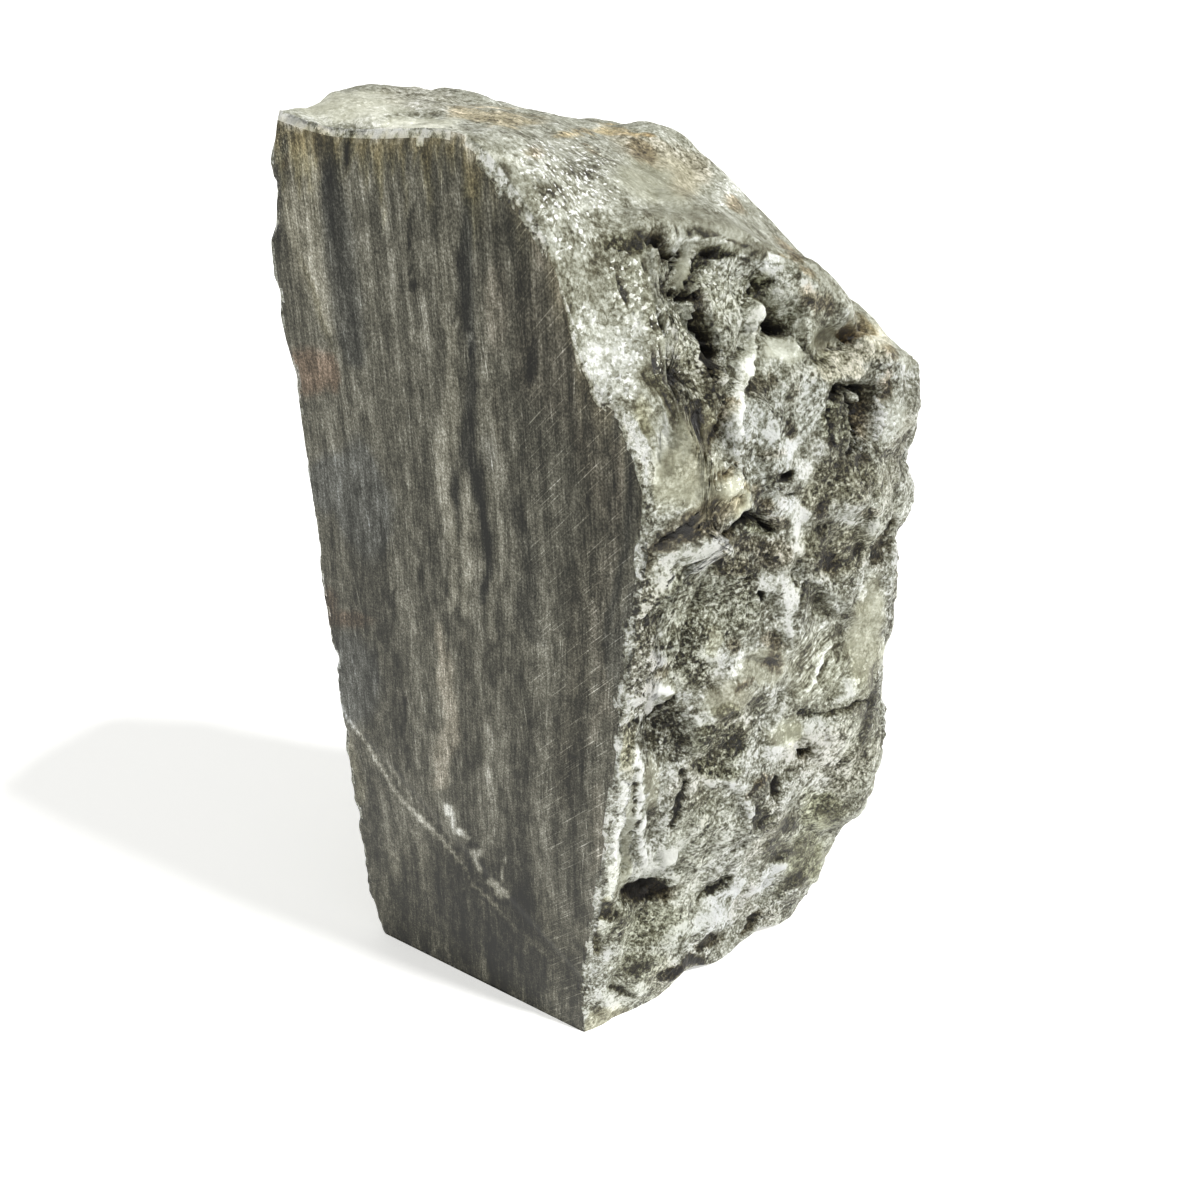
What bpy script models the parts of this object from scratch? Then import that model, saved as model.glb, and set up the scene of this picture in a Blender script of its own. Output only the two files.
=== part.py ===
# Alabaster block: one rough piece of stone, sawn flat on its front and broken on every other side.
#
# The stone is made as a stonecutter would get it. A lattice cube is drawn out to a lump with the
# block's broken faces, a little too large at the front and underneath. Then one saw cut makes the
# flat front and a second cut makes the small flat spot that it stands on.
#
# The lump is worked out in millimetres in the stone's own frame: x runs along the foot of the sawn
# front from left to right, y runs back into the stone, and z runs up. Names used for its sides:
#   sawn    the flat front, at y = 0
#   rough   the broken face at the right, which meets the sawn face at the front edge
#   back, left, top   the other broken faces
import bmesh
import bpy
import numpy as np

MM = 0.001

# Where the frame's origin lies in the stone's own frame: the middle of its box, on the foot.
ORIGIN_X = 86.387
ORIGIN_Y = 67.300

# Plan of the four upright edges. Each profile holds (height, x) and is read in between.
LEFT_EDGE_X = ((0, 0), (20, -4), (91, -4), (133, -2), (152, -0.5), (187, -2), (200, 0.5), (240, 1.5),
               (294, 1), (306, 2), (331, 8), (341, 12))
FRONT_EDGE_X = ((0, 106.5), (21, 106.5), (47, 109), (84, 114), (121, 118), (154, 121.5), (179, 123),
                (202, 125), (230, 128), (250, 129), (300, 129))
RIGHT_EDGE_X = ((0, 171), (15, 174), (27, 178), (50, 183), (70, 187), (95, 188.5), (120, 188), (139, 185),
                (165, 182), (190, 184), (222, 185), (236, 184), (252, 179), (264, 176), (300, 172))
BACK_EDGE_X = ((0, 4), (60, 0), (150, 3), (240, 6), (340, 9))
RIGHT_EDGE_Y = ((0, 120), (25, 124), (60, 128), (340, 128))
BACK_EDGE_Y = ((0, 117), (150, 112), (340, 105))

# Rough lengths of the rough face and of the left side in plan, for distances from their edges.
ROUGH_LENGTH = 140.0
SIDE_LENGTH = 110.0

# Outward bow of the two hidden faces and of the rough face, at their middle.
LEFT_BOW = 7.0
BACK_BOW = 7.0
ROUGH_BOW = 3.0

# The top, as (x, y, height) of the places that give its fall to the right and its saddle.
TOP_PLACES = (
    (10, 0, 341.5), (30, 0, 338), (52, 0, 338.5), (75, 0, 338.5), (-4, 22, 344), (2, 42, 344), (0, 70, 343),
    (5, 90, 339.5), (12, 105, 336), (30, 110, 332), (48, 120, 331), (74, 122, 331), (86, 121, 324.5),
    (99, 125, 311), (110, 127, 303), (122, 131, 295), (136, 129, 286), (151, 128, 278), (172, 128, 268),
    (107, 20, 312), (112, 27, 316.5), (122, 42, 315.5), (135, 60, 308), (149, 88, 291), (165, 122, 266.5),
    (35, 45, 341), (60, 35, 336), (62, 80, 332), (90, 60, 326), (97, 95, 317), (128, 98, 297),
    (90, 12, 329), (60, 15, 338),
)

# The scoop that a broken-off flake left between the top and the front edge: where it starts on the
# sawn face, and how far it falls for each mm to the right and rises for each mm back.
SCOOP_START_X = 75.0
SCOOP_START_HEIGHT = 341.5
SCOOP_FALL = 1.388
SCOOP_RISE = 0.97
SCOOP_WIDTH = 50.0
SCOOP_HOLLOW = 3.0
SCOOP_BLEND = 7.0
# The top's height depends on its place in plan and the other way round, so the two are settled in
# rounds, from this height.
FIRST_RIM_HEIGHT = 300.0
RIM_ROUNDS = 8

# The rough face leans back under the crest: how far at the front edge, where along the face the lean
# has faded out, and between which heights it grows.
LEAN = 31.0
LEAN_RUN = 115.0
LEAN_STARTS_AT_RUN = 24.0
LEAN_FROM = 256.0
LEAN_TO = 314.0

# How far each upright edge, and the rim of the top, is rounded.
RIGHT_EDGE_ROUND = 20.0
BACK_EDGE_ROUND = 24.0
LEFT_EDGE_ROUND = 5.0
RIM_ROUND = 5.0
# An edge's rounding reaches this many radii from the edge, and takes this share of the radius off it.
ROUND_REACH = 1.3
ROUND_SHARE = 0.42
# How quickly one side's way out gives over to the next at an edge, and how wide the band beside the
# sawn face is, as a share of the depth, in which the surface turns along that face.
EDGE_SHARPNESS = 14
FRONT_BAND = 0.06
# Shares of the width and of the height at which the rough face and the top begin.
ROUGH_FROM = 0.93
TOP_FROM = 0.97
TINY = 1e-6

# The foot: how far the underside is lifted at its rim, over what width, and the hollow under the
# rough face, as (run, half width, lift).
FOOT_LIFT = 3.0
FOOT_RIM = 12.0
FOOT_RIM_FROM = 0.12
FOOT_REACH = 20.0
FOOT_HOLLOWS = ((50, 11, 8.0), (92, 12, 6.0), (124, 10, 4.0))
FOOT_HOLLOW_DEPTH = 30.0
FOOT_UNEVENNESS = 1.4
FOOT_WAVE = (19.0, 19.0, 60.0)
FOOT_SEED = 77
# The broken relief is calm beside the two cuts: its share there, and how far up from the foot it
# takes to grow to its full rise.
CALM_AT_FOOT = 0.3
CALM_HEIGHT = 18.0
CALM_AT_SAWN = 0.25

# Lattice of the uncut lump: cells along x, along y and up, and the faces that it is thinned to.
CELLS_X = 44
CELLS_Y = 50
CELLS_UP = 140
# Cells are drawn closer together towards the sawn face by this power.
CELL_CROWDING = 1.25
SAW_ALLOWANCE = 2.5
FOOT_ALLOWANCE = 3.0
SOFTENING = 0.4
SOFTENING_ROUNDS = 2
THINNED_TO = 9000
# The cutters reach this far past the stone.
CUTTER_REACH = 400.0

# Forms of the rough face, placed by run, the distance from the front edge along the face, and by
# height. A swell is (run, height, half width, half height, rise), and a hollow is a swell that falls.
SWELLS = (
    (26, 249, 25, 25, 7.0), (22, 205, 26, 13, -4.5), (27, 187, 24, 26, -3.5), (36, 241, 6, 11, 3.0),
    (19, 281, 7, 7, -5.5), (53, 297, 6, 8, -6.5), (62, 284, 8, 7, -9.0), (96, 248, 11, 13, -5.5),
    (84, 276, 14, 8, -5.0), (91, 279, 6, 6, -3.0), (75, 287, 6, 5, -3.0), (92, 197, 18, 21, -4.5),
    (54, 162, 18, 11, 2.5), (20, 153, 12, 13, -3.5), (61, 100, 18, 24, 3.0), (24, 75, 13, 7, -6.0),
    (125, 160, 16, 28, 2.5), (123, 260, 7, 7, -3.5), (61, 258, 15, 22, -3.0), (98, 145, 20, 15, 2.0),
    (77, 114, 9, 9, -3.0), (101, 82, 10, 12, -3.0), (116, 92, 9, 8, -2.5), (13, 30, 16, 26, 2.5),
    (50, 30, 22, 20, 2.0), (104, 40, 24, 22, -2.5), (22, 307, 5, 9, 3.5), (11, 311, 5, 6, 2.0),
    (38, 300, 12, 12, 3.0), (112, 212, 10, 14, 2.0), (40, 130, 12, 12, -2.0), (132, 205, 12, 16, 2.5),
)
# A cleft is (width, depth) and the line that it follows as (run, height) places. It is deepest at its
# middle, and its ends keep a share of that depth.
CLEFT_END = 0.35
LINE_SPREAD = 0.55
CLEFTS = (
    (5.5, 8.5, ((26, 301), (28, 294), (29, 289), (33, 285), (35, 279), (37, 272))),
    (5.0, 7.5, ((12, 322), (14, 316), (18, 309))),
    (5.0, 5.5, ((42, 311), (34, 311), (30, 307), (26, 302))),
    (4.0, 4.0, ((-4, 317), (3, 320), (11, 320))),
    (4.0, 4.5, ((25, 268), (23, 256))),
    (3.5, 5.0, ((39, 228), (47, 229), (57, 221))),
    (4.0, 5.5, ((86, 259), (94, 261), (103, 256))),
    (3.5, 4.5, ((97, 254), (96, 244), (96, 234))),
    (5.5, 4.0, ((7, 143), (7, 116), (11, 88))),
    (3.5, 3.5, ((60, 51), (74, 54))),
    (4.5, 1.6, ((69, 137), (85, 131), (99, 128), (126, 119))),
    (3.0, 3.0, ((142, 94), (133, 123))),
)
# A ledge stands out over the face below it: (rise, how far the rise fades upwards) and its line.
LEDGES = (
    (6.0, 26.0, ((8, 229), (11, 228), (24, 227), (37, 228), (46, 234))),
    (3.0, 16.0, ((4, 228), (19, 223), (28, 221), (34, 214), (44, 209))),
    (3.0, 18.0, ((8, 86), (20, 88), (34, 84), (46, 76))),
    (2.5, 14.0, ((38, 173), (50, 177), (67, 168))),
    (2.5, 20.0, ((86, 10), (102, 8), (128, 14))),
)
LEDGE_STEP = 6.0
LEDGE_END = 5.0
# A ridge is (width, rise) and its line.
RIDGES = (
    (5.0, 3.0, ((56, 307), (52, 294), (55, 281))),
    (5.0, 3.5, ((36, 273), (43, 266), (39, 255), (41, 247), (46, 241), (44, 233))),
    (6.0, 3.5, ((74, 212), (71, 193), (71, 171))),
    (4.0, 2.0, ((86, 191), (100, 180), (107, 171))),
    (4.0, 2.0, ((104, 154), (93, 146))),
    (5.0, 2.5, ((12, 152), (13, 121), (20, 91))),
    (5.0, 2.5, ((42, 35), (69, 38), (79, 46))),
    (5.0, 2.0, ((11, 264), (5, 254), (3, 240))),
)

# Broken stone in general: (size of the lumps, rise) of the smooth waves, then of the flat chips.
WAVES = ((64.0, 4.0), (27.0, 2.2), (12.0, 1.1))
CHIPS = ((34.0, 0.30, 11), (15.0, 0.30, 23))
CHIP_JITTER = 0.8
CHIP_TILT = 0.9
CHIP_STEP = 0.5
CHIP_FALL = 0.9
CHIP_MEAN = 0.12
WAVE_SEED = 5
TOP_CALM = 0.4
# Chips are drawn out along the upright bedding of the stone.
BEDDING_STRETCH = 1.7

STONE_COLOUR = (0.38, 0.37, 0.31, 1.0)
STONE_ROUGHNESS = 0.55

GRADIENTS = np.array([(1, 1, 0), (-1, 1, 0), (1, -1, 0), (-1, -1, 0), (1, 0, 1), (-1, 0, 1), (1, 0, -1),
                      (-1, 0, -1), (0, 1, 1), (0, -1, 1), (0, 1, -1), (0, -1, -1), (1, 1, 0), (-1, 1, 0),
                      (0, -1, 1), (0, -1, -1)], dtype=float)


def clear_scene():
    """Starts from an empty scene."""
    for thing in list(bpy.data.objects):
        bpy.data.objects.remove(thing, do_unlink=True)


def profile(heights, pairs):
    """Reads a profile of (height, value) pairs at every height."""
    known, values = zip(*pairs)
    return np.interp(heights, known, values)


def ease(t):
    """Goes from 0 to 1 with a smooth start and end."""
    t = np.clip(t, 0.0, 1.0)
    return t * t * (3.0 - 2.0 * t)


def scramble(ix, iy, iz, seed):
    """A repeatable whole number for each lattice place."""
    h = (ix.astype(np.uint32) * np.uint32(0x9E3779B1)) ^ (iy.astype(np.uint32) * np.uint32(0x85EBCA77))
    h ^= (iz.astype(np.uint32) * np.uint32(0xC2B2AE3D)) ^ np.uint32((seed * 0x27D4EB2F) & 0xFFFFFFFF)
    h ^= h >> np.uint32(15)
    h *= np.uint32(0x2C1B3C6D)
    h ^= h >> np.uint32(12)
    h *= np.uint32(0x297A2D39)
    return h ^ (h >> np.uint32(15))


def waves(points, seed):
    """Smooth gradient noise, one wave for each unit of length."""
    cell = np.floor(points).astype(np.int64)
    part = points - cell
    fade = part * part * part * (part * (part * 6.0 - 15.0) + 10.0)
    total = np.zeros(len(points))
    for corner in np.ndindex(2, 2, 2):
        place = cell + corner
        push = GRADIENTS[scramble(place[:, 0], place[:, 1], place[:, 2], seed) & np.uint32(15)]
        weight = np.prod(np.where(np.array(corner) == 1, fade, 1.0 - fade), axis=1)
        total += weight * np.sum(push * (part - corner), axis=1)
    return total


def chips(points, seed):
    """Flat tilted chips: each point takes the highest plane of the cells round it."""
    cell = np.floor(points).astype(np.int64)
    best = np.full(len(points), -np.inf)
    for corner in np.ndindex(3, 3, 3):
        place = cell + corner - 1
        unit = [(scramble(place[:, 0], place[:, 1], place[:, 2], seed + k) & np.uint32(0xFFFF)) / 65535.0
                for k in range(7)]
        centre = place + 0.5 + CHIP_JITTER * (np.stack(unit[:3], axis=1) - 0.5)
        away = points - centre
        tilt = CHIP_TILT * (np.stack(unit[3:6], axis=1) - 0.5)
        fall = CHIP_FALL * np.sum(away * away, axis=1)
        plane = CHIP_STEP * unit[6] + np.sum(away * tilt, axis=1) - fall
        best = np.maximum(best, plane)
    return best


def distance_to_line(run, height, places):
    """Distance to a line of places, and how far along it the nearest point lies, from 0 to 1."""
    nearest = np.full(run.shape, np.inf)
    along = np.zeros(run.shape)
    steps = len(places) - 1
    for k, ((r0, h0), (r1, h1)) in enumerate(zip(places[:-1], places[1:])):
        dr, dh = r1 - r0, h1 - h0
        t = np.clip(((run - r0) * dr + (height - h0) * dh) / (dr * dr + dh * dh), 0.0, 1.0)
        gap = np.hypot(run - r0 - t * dr, height - h0 - t * dh)
        closer = gap < nearest
        nearest = np.where(closer, gap, nearest)
        along = np.where(closer, (k + t) / steps, along)
    return nearest, along


def rough_relief(run, height):
    """Rise of the rough face over its plain leaning surface, from its named forms."""
    rise = np.zeros(run.shape)
    for r, h, half_r, half_h, lift in SWELLS:
        far = ((run - r) / half_r) ** 2 + ((height - h) / half_h) ** 2
        rise += lift * np.clip(1.0 - 0.5 * far, 0.0, 1.0) ** 2
    for width, depth, places in CLEFTS:
        gap, along = distance_to_line(run, height, places)
        tapered = CLEFT_END + (1.0 - CLEFT_END) * np.sin(np.pi * along)
        rise -= depth * tapered * np.exp(-((gap / (LINE_SPREAD * width)) ** 2))
    for width, lift, places in RIDGES:
        gap, along = distance_to_line(run, height, places)
        rise += lift * np.exp(-((gap / (LINE_SPREAD * width)) ** 2))
    for lift, fade, places in LEDGES:
        runs, heights = zip(*places)
        over = height - np.interp(run, runs, heights)
        begun = ease(0.5 + (run - runs[0]) / (2.0 * LEDGE_END))
        ended = ease(0.5 + (run - runs[-1]) / (2.0 * LEDGE_END))
        step = ease(0.5 + over / LEDGE_STEP)
        rise += lift * begun * (1.0 - ended) * step * np.exp(-np.clip(over, 0.0, None) / fade)
    return rise


def thin_plate(places):
    """Solves the thin plate through all places, and returns it as a function of x and y."""
    places = np.array(places, dtype=float)
    knots, heights = places[:, :2], places[:, 2]

    def kernel(gap):
        return gap * gap * np.log(gap + 1e-9)

    spread = np.linalg.norm(knots[:, None] - knots[None, :], axis=2)
    flat = np.column_stack([np.ones(len(knots)), knots])
    system = np.block([[kernel(spread), flat], [flat.T, np.zeros((3, 3))]])
    weights = np.linalg.solve(system, np.concatenate([heights, np.zeros(3)]))

    def height_at(x, y):
        total = weights[-3] + weights[-2] * x + weights[-1] * y
        for (kx, ky), weight in zip(knots, weights[:-3]):
            total = total + weight * kernel(np.hypot(x - kx, y - ky))
        return total

    return height_at


def plan(a, b, height):
    """Place in plan of the lattice point (a, b) at a height: the four edges joined by straight lines,
    with the faces bowed and the rough face leaning back near its crest."""
    left_x = profile(height, LEFT_EDGE_X)
    front_x = profile(height, FRONT_EDGE_X)
    right_x = profile(height, RIGHT_EDGE_X)
    right_y = profile(height, RIGHT_EDGE_Y)
    back_x = profile(height, BACK_EDGE_X)
    back_y = profile(height, BACK_EDGE_Y)
    x = (1 - a) * (1 - b) * left_x + a * (1 - b) * front_x + a * b * right_x + (1 - a) * b * back_x
    y = a * b * right_y + (1 - a) * b * back_y
    length = np.hypot(right_x - front_x, right_y)
    out_x = right_y / length
    out_y = -(right_x - front_x) / length
    run = b * length
    lean = LEAN * np.clip(1.0 - run / LEAN_RUN, 0.0, 1.0) * ease(run / LEAN_STARTS_AT_RUN)
    push = a * (ROUGH_BOW * np.sin(np.pi * b) - lean * ease((height - LEAN_FROM) / (LEAN_TO - LEAN_FROM)))
    x = x + push * out_x - (1 - a) * LEFT_BOW * np.sin(np.pi * b) ** 0.8
    y = y + push * out_y + b * BACK_BOW * np.sin(np.pi * a)
    return x, y, run, out_x, out_y


def rim_height(a, b, top_at):
    """Height of the top over the lattice point (a, b), settled with its place in plan."""
    height = np.full(a.shape, FIRST_RIM_HEIGHT)
    for _ in range(RIM_ROUNDS):
        x, y, *_ = plan(a, b, height)
        top = top_at(x, y)
        scoop = SCOOP_START_HEIGHT - SCOOP_FALL * (x - SCOOP_START_X) + SCOOP_RISE * y
        across = np.clip((x - SCOOP_START_X) / SCOOP_WIDTH, 0.0, 1.0)
        scoop = scoop - SCOOP_HOLLOW * np.sin(np.pi * across)
        mix = ease(0.5 + (top - scoop) / (2.0 * SCOOP_BLEND))
        lower = top * (1 - mix) + scoop * mix - SCOOP_BLEND * 0.5 * mix * (1 - mix)
        height = 0.5 * height + 0.5 * np.minimum(lower, top + 1.0)
    return height


def way_out(a, b, c, out_x, out_y):
    """Unit direction in which the surface moves when it rises: each side's own way out, mixed near the
    edges. Next to the sawn face it turns along that face, so that a rise only moves the outline."""
    to_rough = a ** EDGE_SHARPNESS
    to_left = (1 - a) ** EDGE_SHARPNESS
    to_back = b ** EDGE_SHARPNESS
    to_top = c ** (2 * EDGE_SHARPNESS)
    turned = np.clip(b / FRONT_BAND, 0.0, 1.0)
    move = np.stack([to_rough * (1.0 + turned * (out_x - 1.0)) - to_left,
                     to_rough * turned * out_y + to_back,
                     to_top], axis=1)
    return move / np.maximum(np.linalg.norm(move, axis=1, keepdims=True), TINY)


def broken_relief(points, a, run, rim):
    """Rise of the broken stone: waves and flat chips everywhere, and the named forms on the rough face."""
    on_rough = ease((a - ROUGH_FROM) / (1.0 - ROUGH_FROM))
    rise = np.zeros(len(points))
    for k, (lump, lift) in enumerate(WAVES):
        rise += lift * waves(points / lump, WAVE_SEED + k)
    for lump, share, seed in CHIPS:
        rise += share * lump * (chips(points / (lump, lump, lump * BEDDING_STRETCH), seed) - CHIP_MEAN)
    on_top = ease((points[:, 2] / rim - TOP_FROM) / (1.0 - TOP_FROM))
    return rise * (1.0 - TOP_CALM * on_top) + on_rough * rough_relief(run, points[:, 2])


def edge_rounding(a, b, c, width, rim):
    """How far the surface is pulled in along the upright edges and the rim of the top."""
    from_right = (1 - a) * width + (1 - b) * ROUGH_LENGTH
    from_back = a * width + (1 - b) * SIDE_LENGTH
    from_left = a * width + b * SIDE_LENGTH
    pulled = np.zeros(len(a))
    for far, radius in ((from_right, RIGHT_EDGE_ROUND), (from_back, BACK_EDGE_ROUND),
                        (from_left, LEFT_EDGE_ROUND)):
        pulled += ROUND_SHARE * radius * np.clip(1.0 - far / (ROUND_REACH * radius), 0.0, 1.0) ** 2
    inside_top = np.minimum(np.minimum(a, 1 - a) * width, (1 - b) * SIDE_LENGTH)
    from_rim = np.where(c > 1 - TINY, inside_top, (1 - c) * rim)
    pulled += ROUND_SHARE * RIM_ROUND * np.clip(1.0 - from_rim / RIM_ROUND, 0.0, 1.0) ** 2
    return pulled


def underside_lift(points, a, b, width, run):
    """How far the underside stands off the ground: a little round its rim, and more where stone has
    broken away under the rough face."""
    from_rough = (1 - a) * width
    rim_gap = np.minimum(np.minimum(from_rough, a * width), (1 - b) * SIDE_LENGTH)
    lift = FOOT_LIFT * np.clip(1.0 - rim_gap / FOOT_RIM, 0.0, 1.0) ** 1.5 * ease(b / FOOT_RIM_FROM)
    for r, half, extra in FOOT_HOLLOWS:
        near = np.exp(-(((run - r) / half) ** 2))
        lift += extra * near * np.clip(1.0 - from_rough / FOOT_HOLLOW_DEPTH, 0.0, 1.0) ** 1.2
    return lift + FOOT_UNEVENNESS * waves(points / FOOT_WAVE, FOOT_SEED)


def shape_stone(lattice):
    """Moves the points of a unit cube's surface lattice, given as rows of (a, b, c), to the lump."""
    a, b, c = lattice.T
    rim = rim_height(a, b, thin_plate(TOP_PLACES))
    height = c * rim
    x, y, run, out_x, out_y = plan(a, b, height)
    width = profile(height, FRONT_EDGE_X) - profile(height, LEFT_EDGE_X)
    points = np.stack([x, y, height], axis=1)

    rise = broken_relief(points, a, run, rim)
    # The sawn face and the foot stay plain, and their outlines move less than the broken faces do.
    on_sawn = (b < TINY) & (a > TINY) & (a < 1 - TINY)
    on_foot = (c < TINY) & (a > TINY) & (a < 1 - TINY) & (b < 1 - TINY)
    off_foot = ease(height / CALM_HEIGHT)
    off_sawn = ease(b / FRONT_BAND)
    rise *= CALM_AT_FOOT + (1.0 - CALM_AT_FOOT) * off_foot
    rise *= CALM_AT_SAWN + (1.0 - CALM_AT_SAWN) * off_sawn
    rise = np.where(on_sawn | on_foot, 0.0, rise)
    rise -= np.where(on_sawn, 0.0, edge_rounding(a, b, c, width, rim) * off_sawn)
    points += way_out(a, b, c, out_x, out_y) * rise[:, None]

    low = np.clip(1.0 - height / FOOT_REACH, 0.0, 1.0)
    points[:, 2] += (underside_lift(points, a, b, width, run) - FOOT_ALLOWANCE) * low
    points[:, 1] -= SAW_ALLOWANCE * np.clip(1.0 - b / FRONT_BAND, 0.0, 1.0)
    return points


def lattice_cube(cells, crowding):
    """A unit cube from 0 to 1, sliced into cells along each axis, which the axis's power crowds
    towards 0."""
    bm = bmesh.new()
    bmesh.ops.create_cube(bm, size=1.0)
    bmesh.ops.translate(bm, verts=bm.verts, vec=(0.5, 0.5, 0.5))
    for axis, (count, power) in enumerate(zip(cells, crowding)):
        way = [0.0, 0.0, 0.0]
        way[axis] = 1.0
        for k in range(1, count):
            at = [(k / count) ** power * part for part in way]
            faces = bm.verts[:] + bm.edges[:] + bm.faces[:]
            bmesh.ops.bisect_plane(bm, geom=faces, plane_co=at, plane_no=way, dist=1e-7)
    return bm


def stone_material():
    """Broken alabaster: grey to cream, a little glossy where crystals face the light."""
    material = bpy.data.materials.new("alabaster")
    material.use_nodes = True
    shader = material.node_tree.nodes["Principled BSDF"]
    shader.inputs["Base Color"].default_value = STONE_COLOUR
    shader.inputs["Roughness"].default_value = STONE_ROUGHNESS
    shader.inputs["Metallic"].default_value = 0.0
    return material


def box_cutter(name, low, high):
    """A hidden box between two corners in millimetres, for one straight cut."""
    bm = bmesh.new()
    bmesh.ops.create_cube(bm, size=1.0)
    low, high = np.array(low), np.array(high)
    bmesh.ops.scale(bm, verts=bm.verts, vec=tuple((high - low) * MM))
    bmesh.ops.translate(bm, verts=bm.verts, vec=tuple((high + low) / 2 * MM))
    mesh = bpy.data.meshes.new(name)
    bm.to_mesh(mesh)
    bm.free()
    cutter = bpy.data.objects.new(name, mesh)
    bpy.context.scene.collection.objects.link(cutter)
    cutter.hide_render = True
    cutter.display_type = "WIRE"
    return cutter


def cut(stone, cutter):
    """Takes the cutter's room out of the stone."""
    step = stone.modifiers.new(cutter.name, "BOOLEAN")
    step.operation = "DIFFERENCE"
    step.solver = "EXACT"
    step.object = cutter


def build_stone():
    """Draws the lump out of the lattice cube, thins its faces and makes the two cuts."""
    bm = lattice_cube((CELLS_X, CELLS_Y, CELLS_UP), (1.0, CELL_CROWDING, 1.0))
    lattice = np.array([v.co for v in bm.verts])
    places = shape_stone(lattice) - (ORIGIN_X, ORIGIN_Y, 0.0)
    for vert, place in zip(bm.verts, places * MM):
        vert.co = place
    triangles = 2 * len(bm.faces)
    mesh = bpy.data.meshes.new("alabaster_block")
    bm.to_mesh(mesh)
    bm.free()
    mesh.materials.append(stone_material())
    stone = bpy.data.objects.new("alabaster_block", mesh)
    bpy.context.scene.collection.objects.link(stone)

    soften = stone.modifiers.new("soften", "SMOOTH")
    soften.factor = SOFTENING
    soften.iterations = SOFTENING_ROUNDS
    thin = stone.modifiers.new("thin", "DECIMATE")
    thin.decimate_type = "COLLAPSE"
    thin.ratio = THINNED_TO / triangles
    low = (-CUTTER_REACH, -CUTTER_REACH, -CUTTER_REACH)
    cut(stone, box_cutter("saw_cut", low, (CUTTER_REACH, -ORIGIN_Y, CUTTER_REACH)))
    cut(stone, box_cutter("foot_cut", low, (CUTTER_REACH, CUTTER_REACH, 0.0)))
    return stone


clear_scene()
build_stone()
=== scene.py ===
"""Looks of a raw alabaster block: one stone, sawn flat on its front and broken on its other sides.

The stone is one closed mesh. Its six sides are grids on a lattice cube that is drawn out to the same
plain form as the CAD solid, and then given the finer relief, the saw's marks and the colours of the
real stone. Lengths are in millimetres in the stone's own frame until the mesh is made: x runs along
the foot of the sawn face, y back into the stone, and z up.
"""

import logging
import math
from dataclasses import dataclass
from enum import Enum
from typing import Any

import bpy
import numpy as np
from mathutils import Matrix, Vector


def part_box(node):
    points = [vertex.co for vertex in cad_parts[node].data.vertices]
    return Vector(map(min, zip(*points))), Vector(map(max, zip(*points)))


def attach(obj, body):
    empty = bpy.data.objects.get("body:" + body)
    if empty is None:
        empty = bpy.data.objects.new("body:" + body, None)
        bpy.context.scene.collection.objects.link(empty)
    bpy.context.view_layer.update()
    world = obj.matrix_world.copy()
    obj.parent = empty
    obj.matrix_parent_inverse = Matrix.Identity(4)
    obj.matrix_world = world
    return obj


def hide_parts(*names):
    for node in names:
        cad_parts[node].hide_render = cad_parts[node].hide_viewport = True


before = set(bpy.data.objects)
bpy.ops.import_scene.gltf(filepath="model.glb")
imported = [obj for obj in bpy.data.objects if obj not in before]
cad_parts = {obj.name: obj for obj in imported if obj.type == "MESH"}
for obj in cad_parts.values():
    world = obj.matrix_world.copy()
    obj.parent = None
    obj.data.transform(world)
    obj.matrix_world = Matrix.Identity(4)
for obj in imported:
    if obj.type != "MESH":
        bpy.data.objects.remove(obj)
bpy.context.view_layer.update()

MM = 0.001
TINY = 1e-6
NEVER_ZERO = 1e-9
NODE = "alabaster_block"

# Along the fibres of the broken side, across them, and out of it
FIBRE_AXES = ((0.366, 0.698, 0.616), (-0.286, -0.545, 0.788), (0.886, -0.464, 0.0))

Array = np.ndarray
Place = tuple[float, float]
Line = tuple[Place, ...]
Triples = tuple[tuple[float, float, float], ...]
Weights = tuple[tuple[str, float], ...]
Looks = dict[str, Array]
log = logging.getLogger("alabaster_block")


def linear(colour: str) -> tuple[float, float, float, float]:
    """Turns an sRGB hex colour into linear light.

    Args:
        colour: the colour as "#rrggbb".

    Returns:
        Red, green, blue and an alpha of 1.
    """
    parts = [int(colour[k:k + 2], 16) / 255.0 for k in (1, 3, 5)]
    return (*[p / 12.92 if p <= 0.04045 else ((p + 0.055) / 1.055) ** 2.4 for p in parts], 1.0)


def ease(t: Array) -> Array:
    """Goes from 0 to 1 with a smooth start and end: 3t squared less 2t cubed."""
    t = np.clip(t, 0.0, 1.0)
    return t * t * (3.0 - 2.0 * t)


def profile(heights: Array, pairs: Line) -> Array:
    """Reads a profile of (height, value) pairs at every height."""
    known, values = zip(*pairs)
    return np.interp(heights, known, values)


def scramble(cell: Array, seed: int) -> Array:
    """Hashes lattice cells by the multiply-and-shift steps of a common integer hash.

    Args:
        cell: rows of three whole numbers.
        seed: which of many hashes to use.

    Returns:
        A repeatable whole number for each row.
    """
    part = cell.astype(np.uint32)
    h = (part[:, 0] * np.uint32(0x9E3779B1)) ^ (part[:, 1] * np.uint32(0x85EBCA77))
    h ^= (part[:, 2] * np.uint32(0xC2B2AE3D)) ^ np.uint32((seed * 0x27D4EB2F) & 0xFFFFFFFF)
    h ^= h >> np.uint32(15)
    h *= np.uint32(0x2C1B3C6D)
    h ^= h >> np.uint32(12)
    h *= np.uint32(0x297A2D39)
    return h ^ (h >> np.uint32(15))


def chance(cell: Array, seed: int) -> Array:
    """A repeatable share from 0 to 1 for each lattice cell, from the low 16 bits of its hash."""
    return (scramble(cell, seed) & np.uint32(0xFFFF)) / 65535.0


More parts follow.
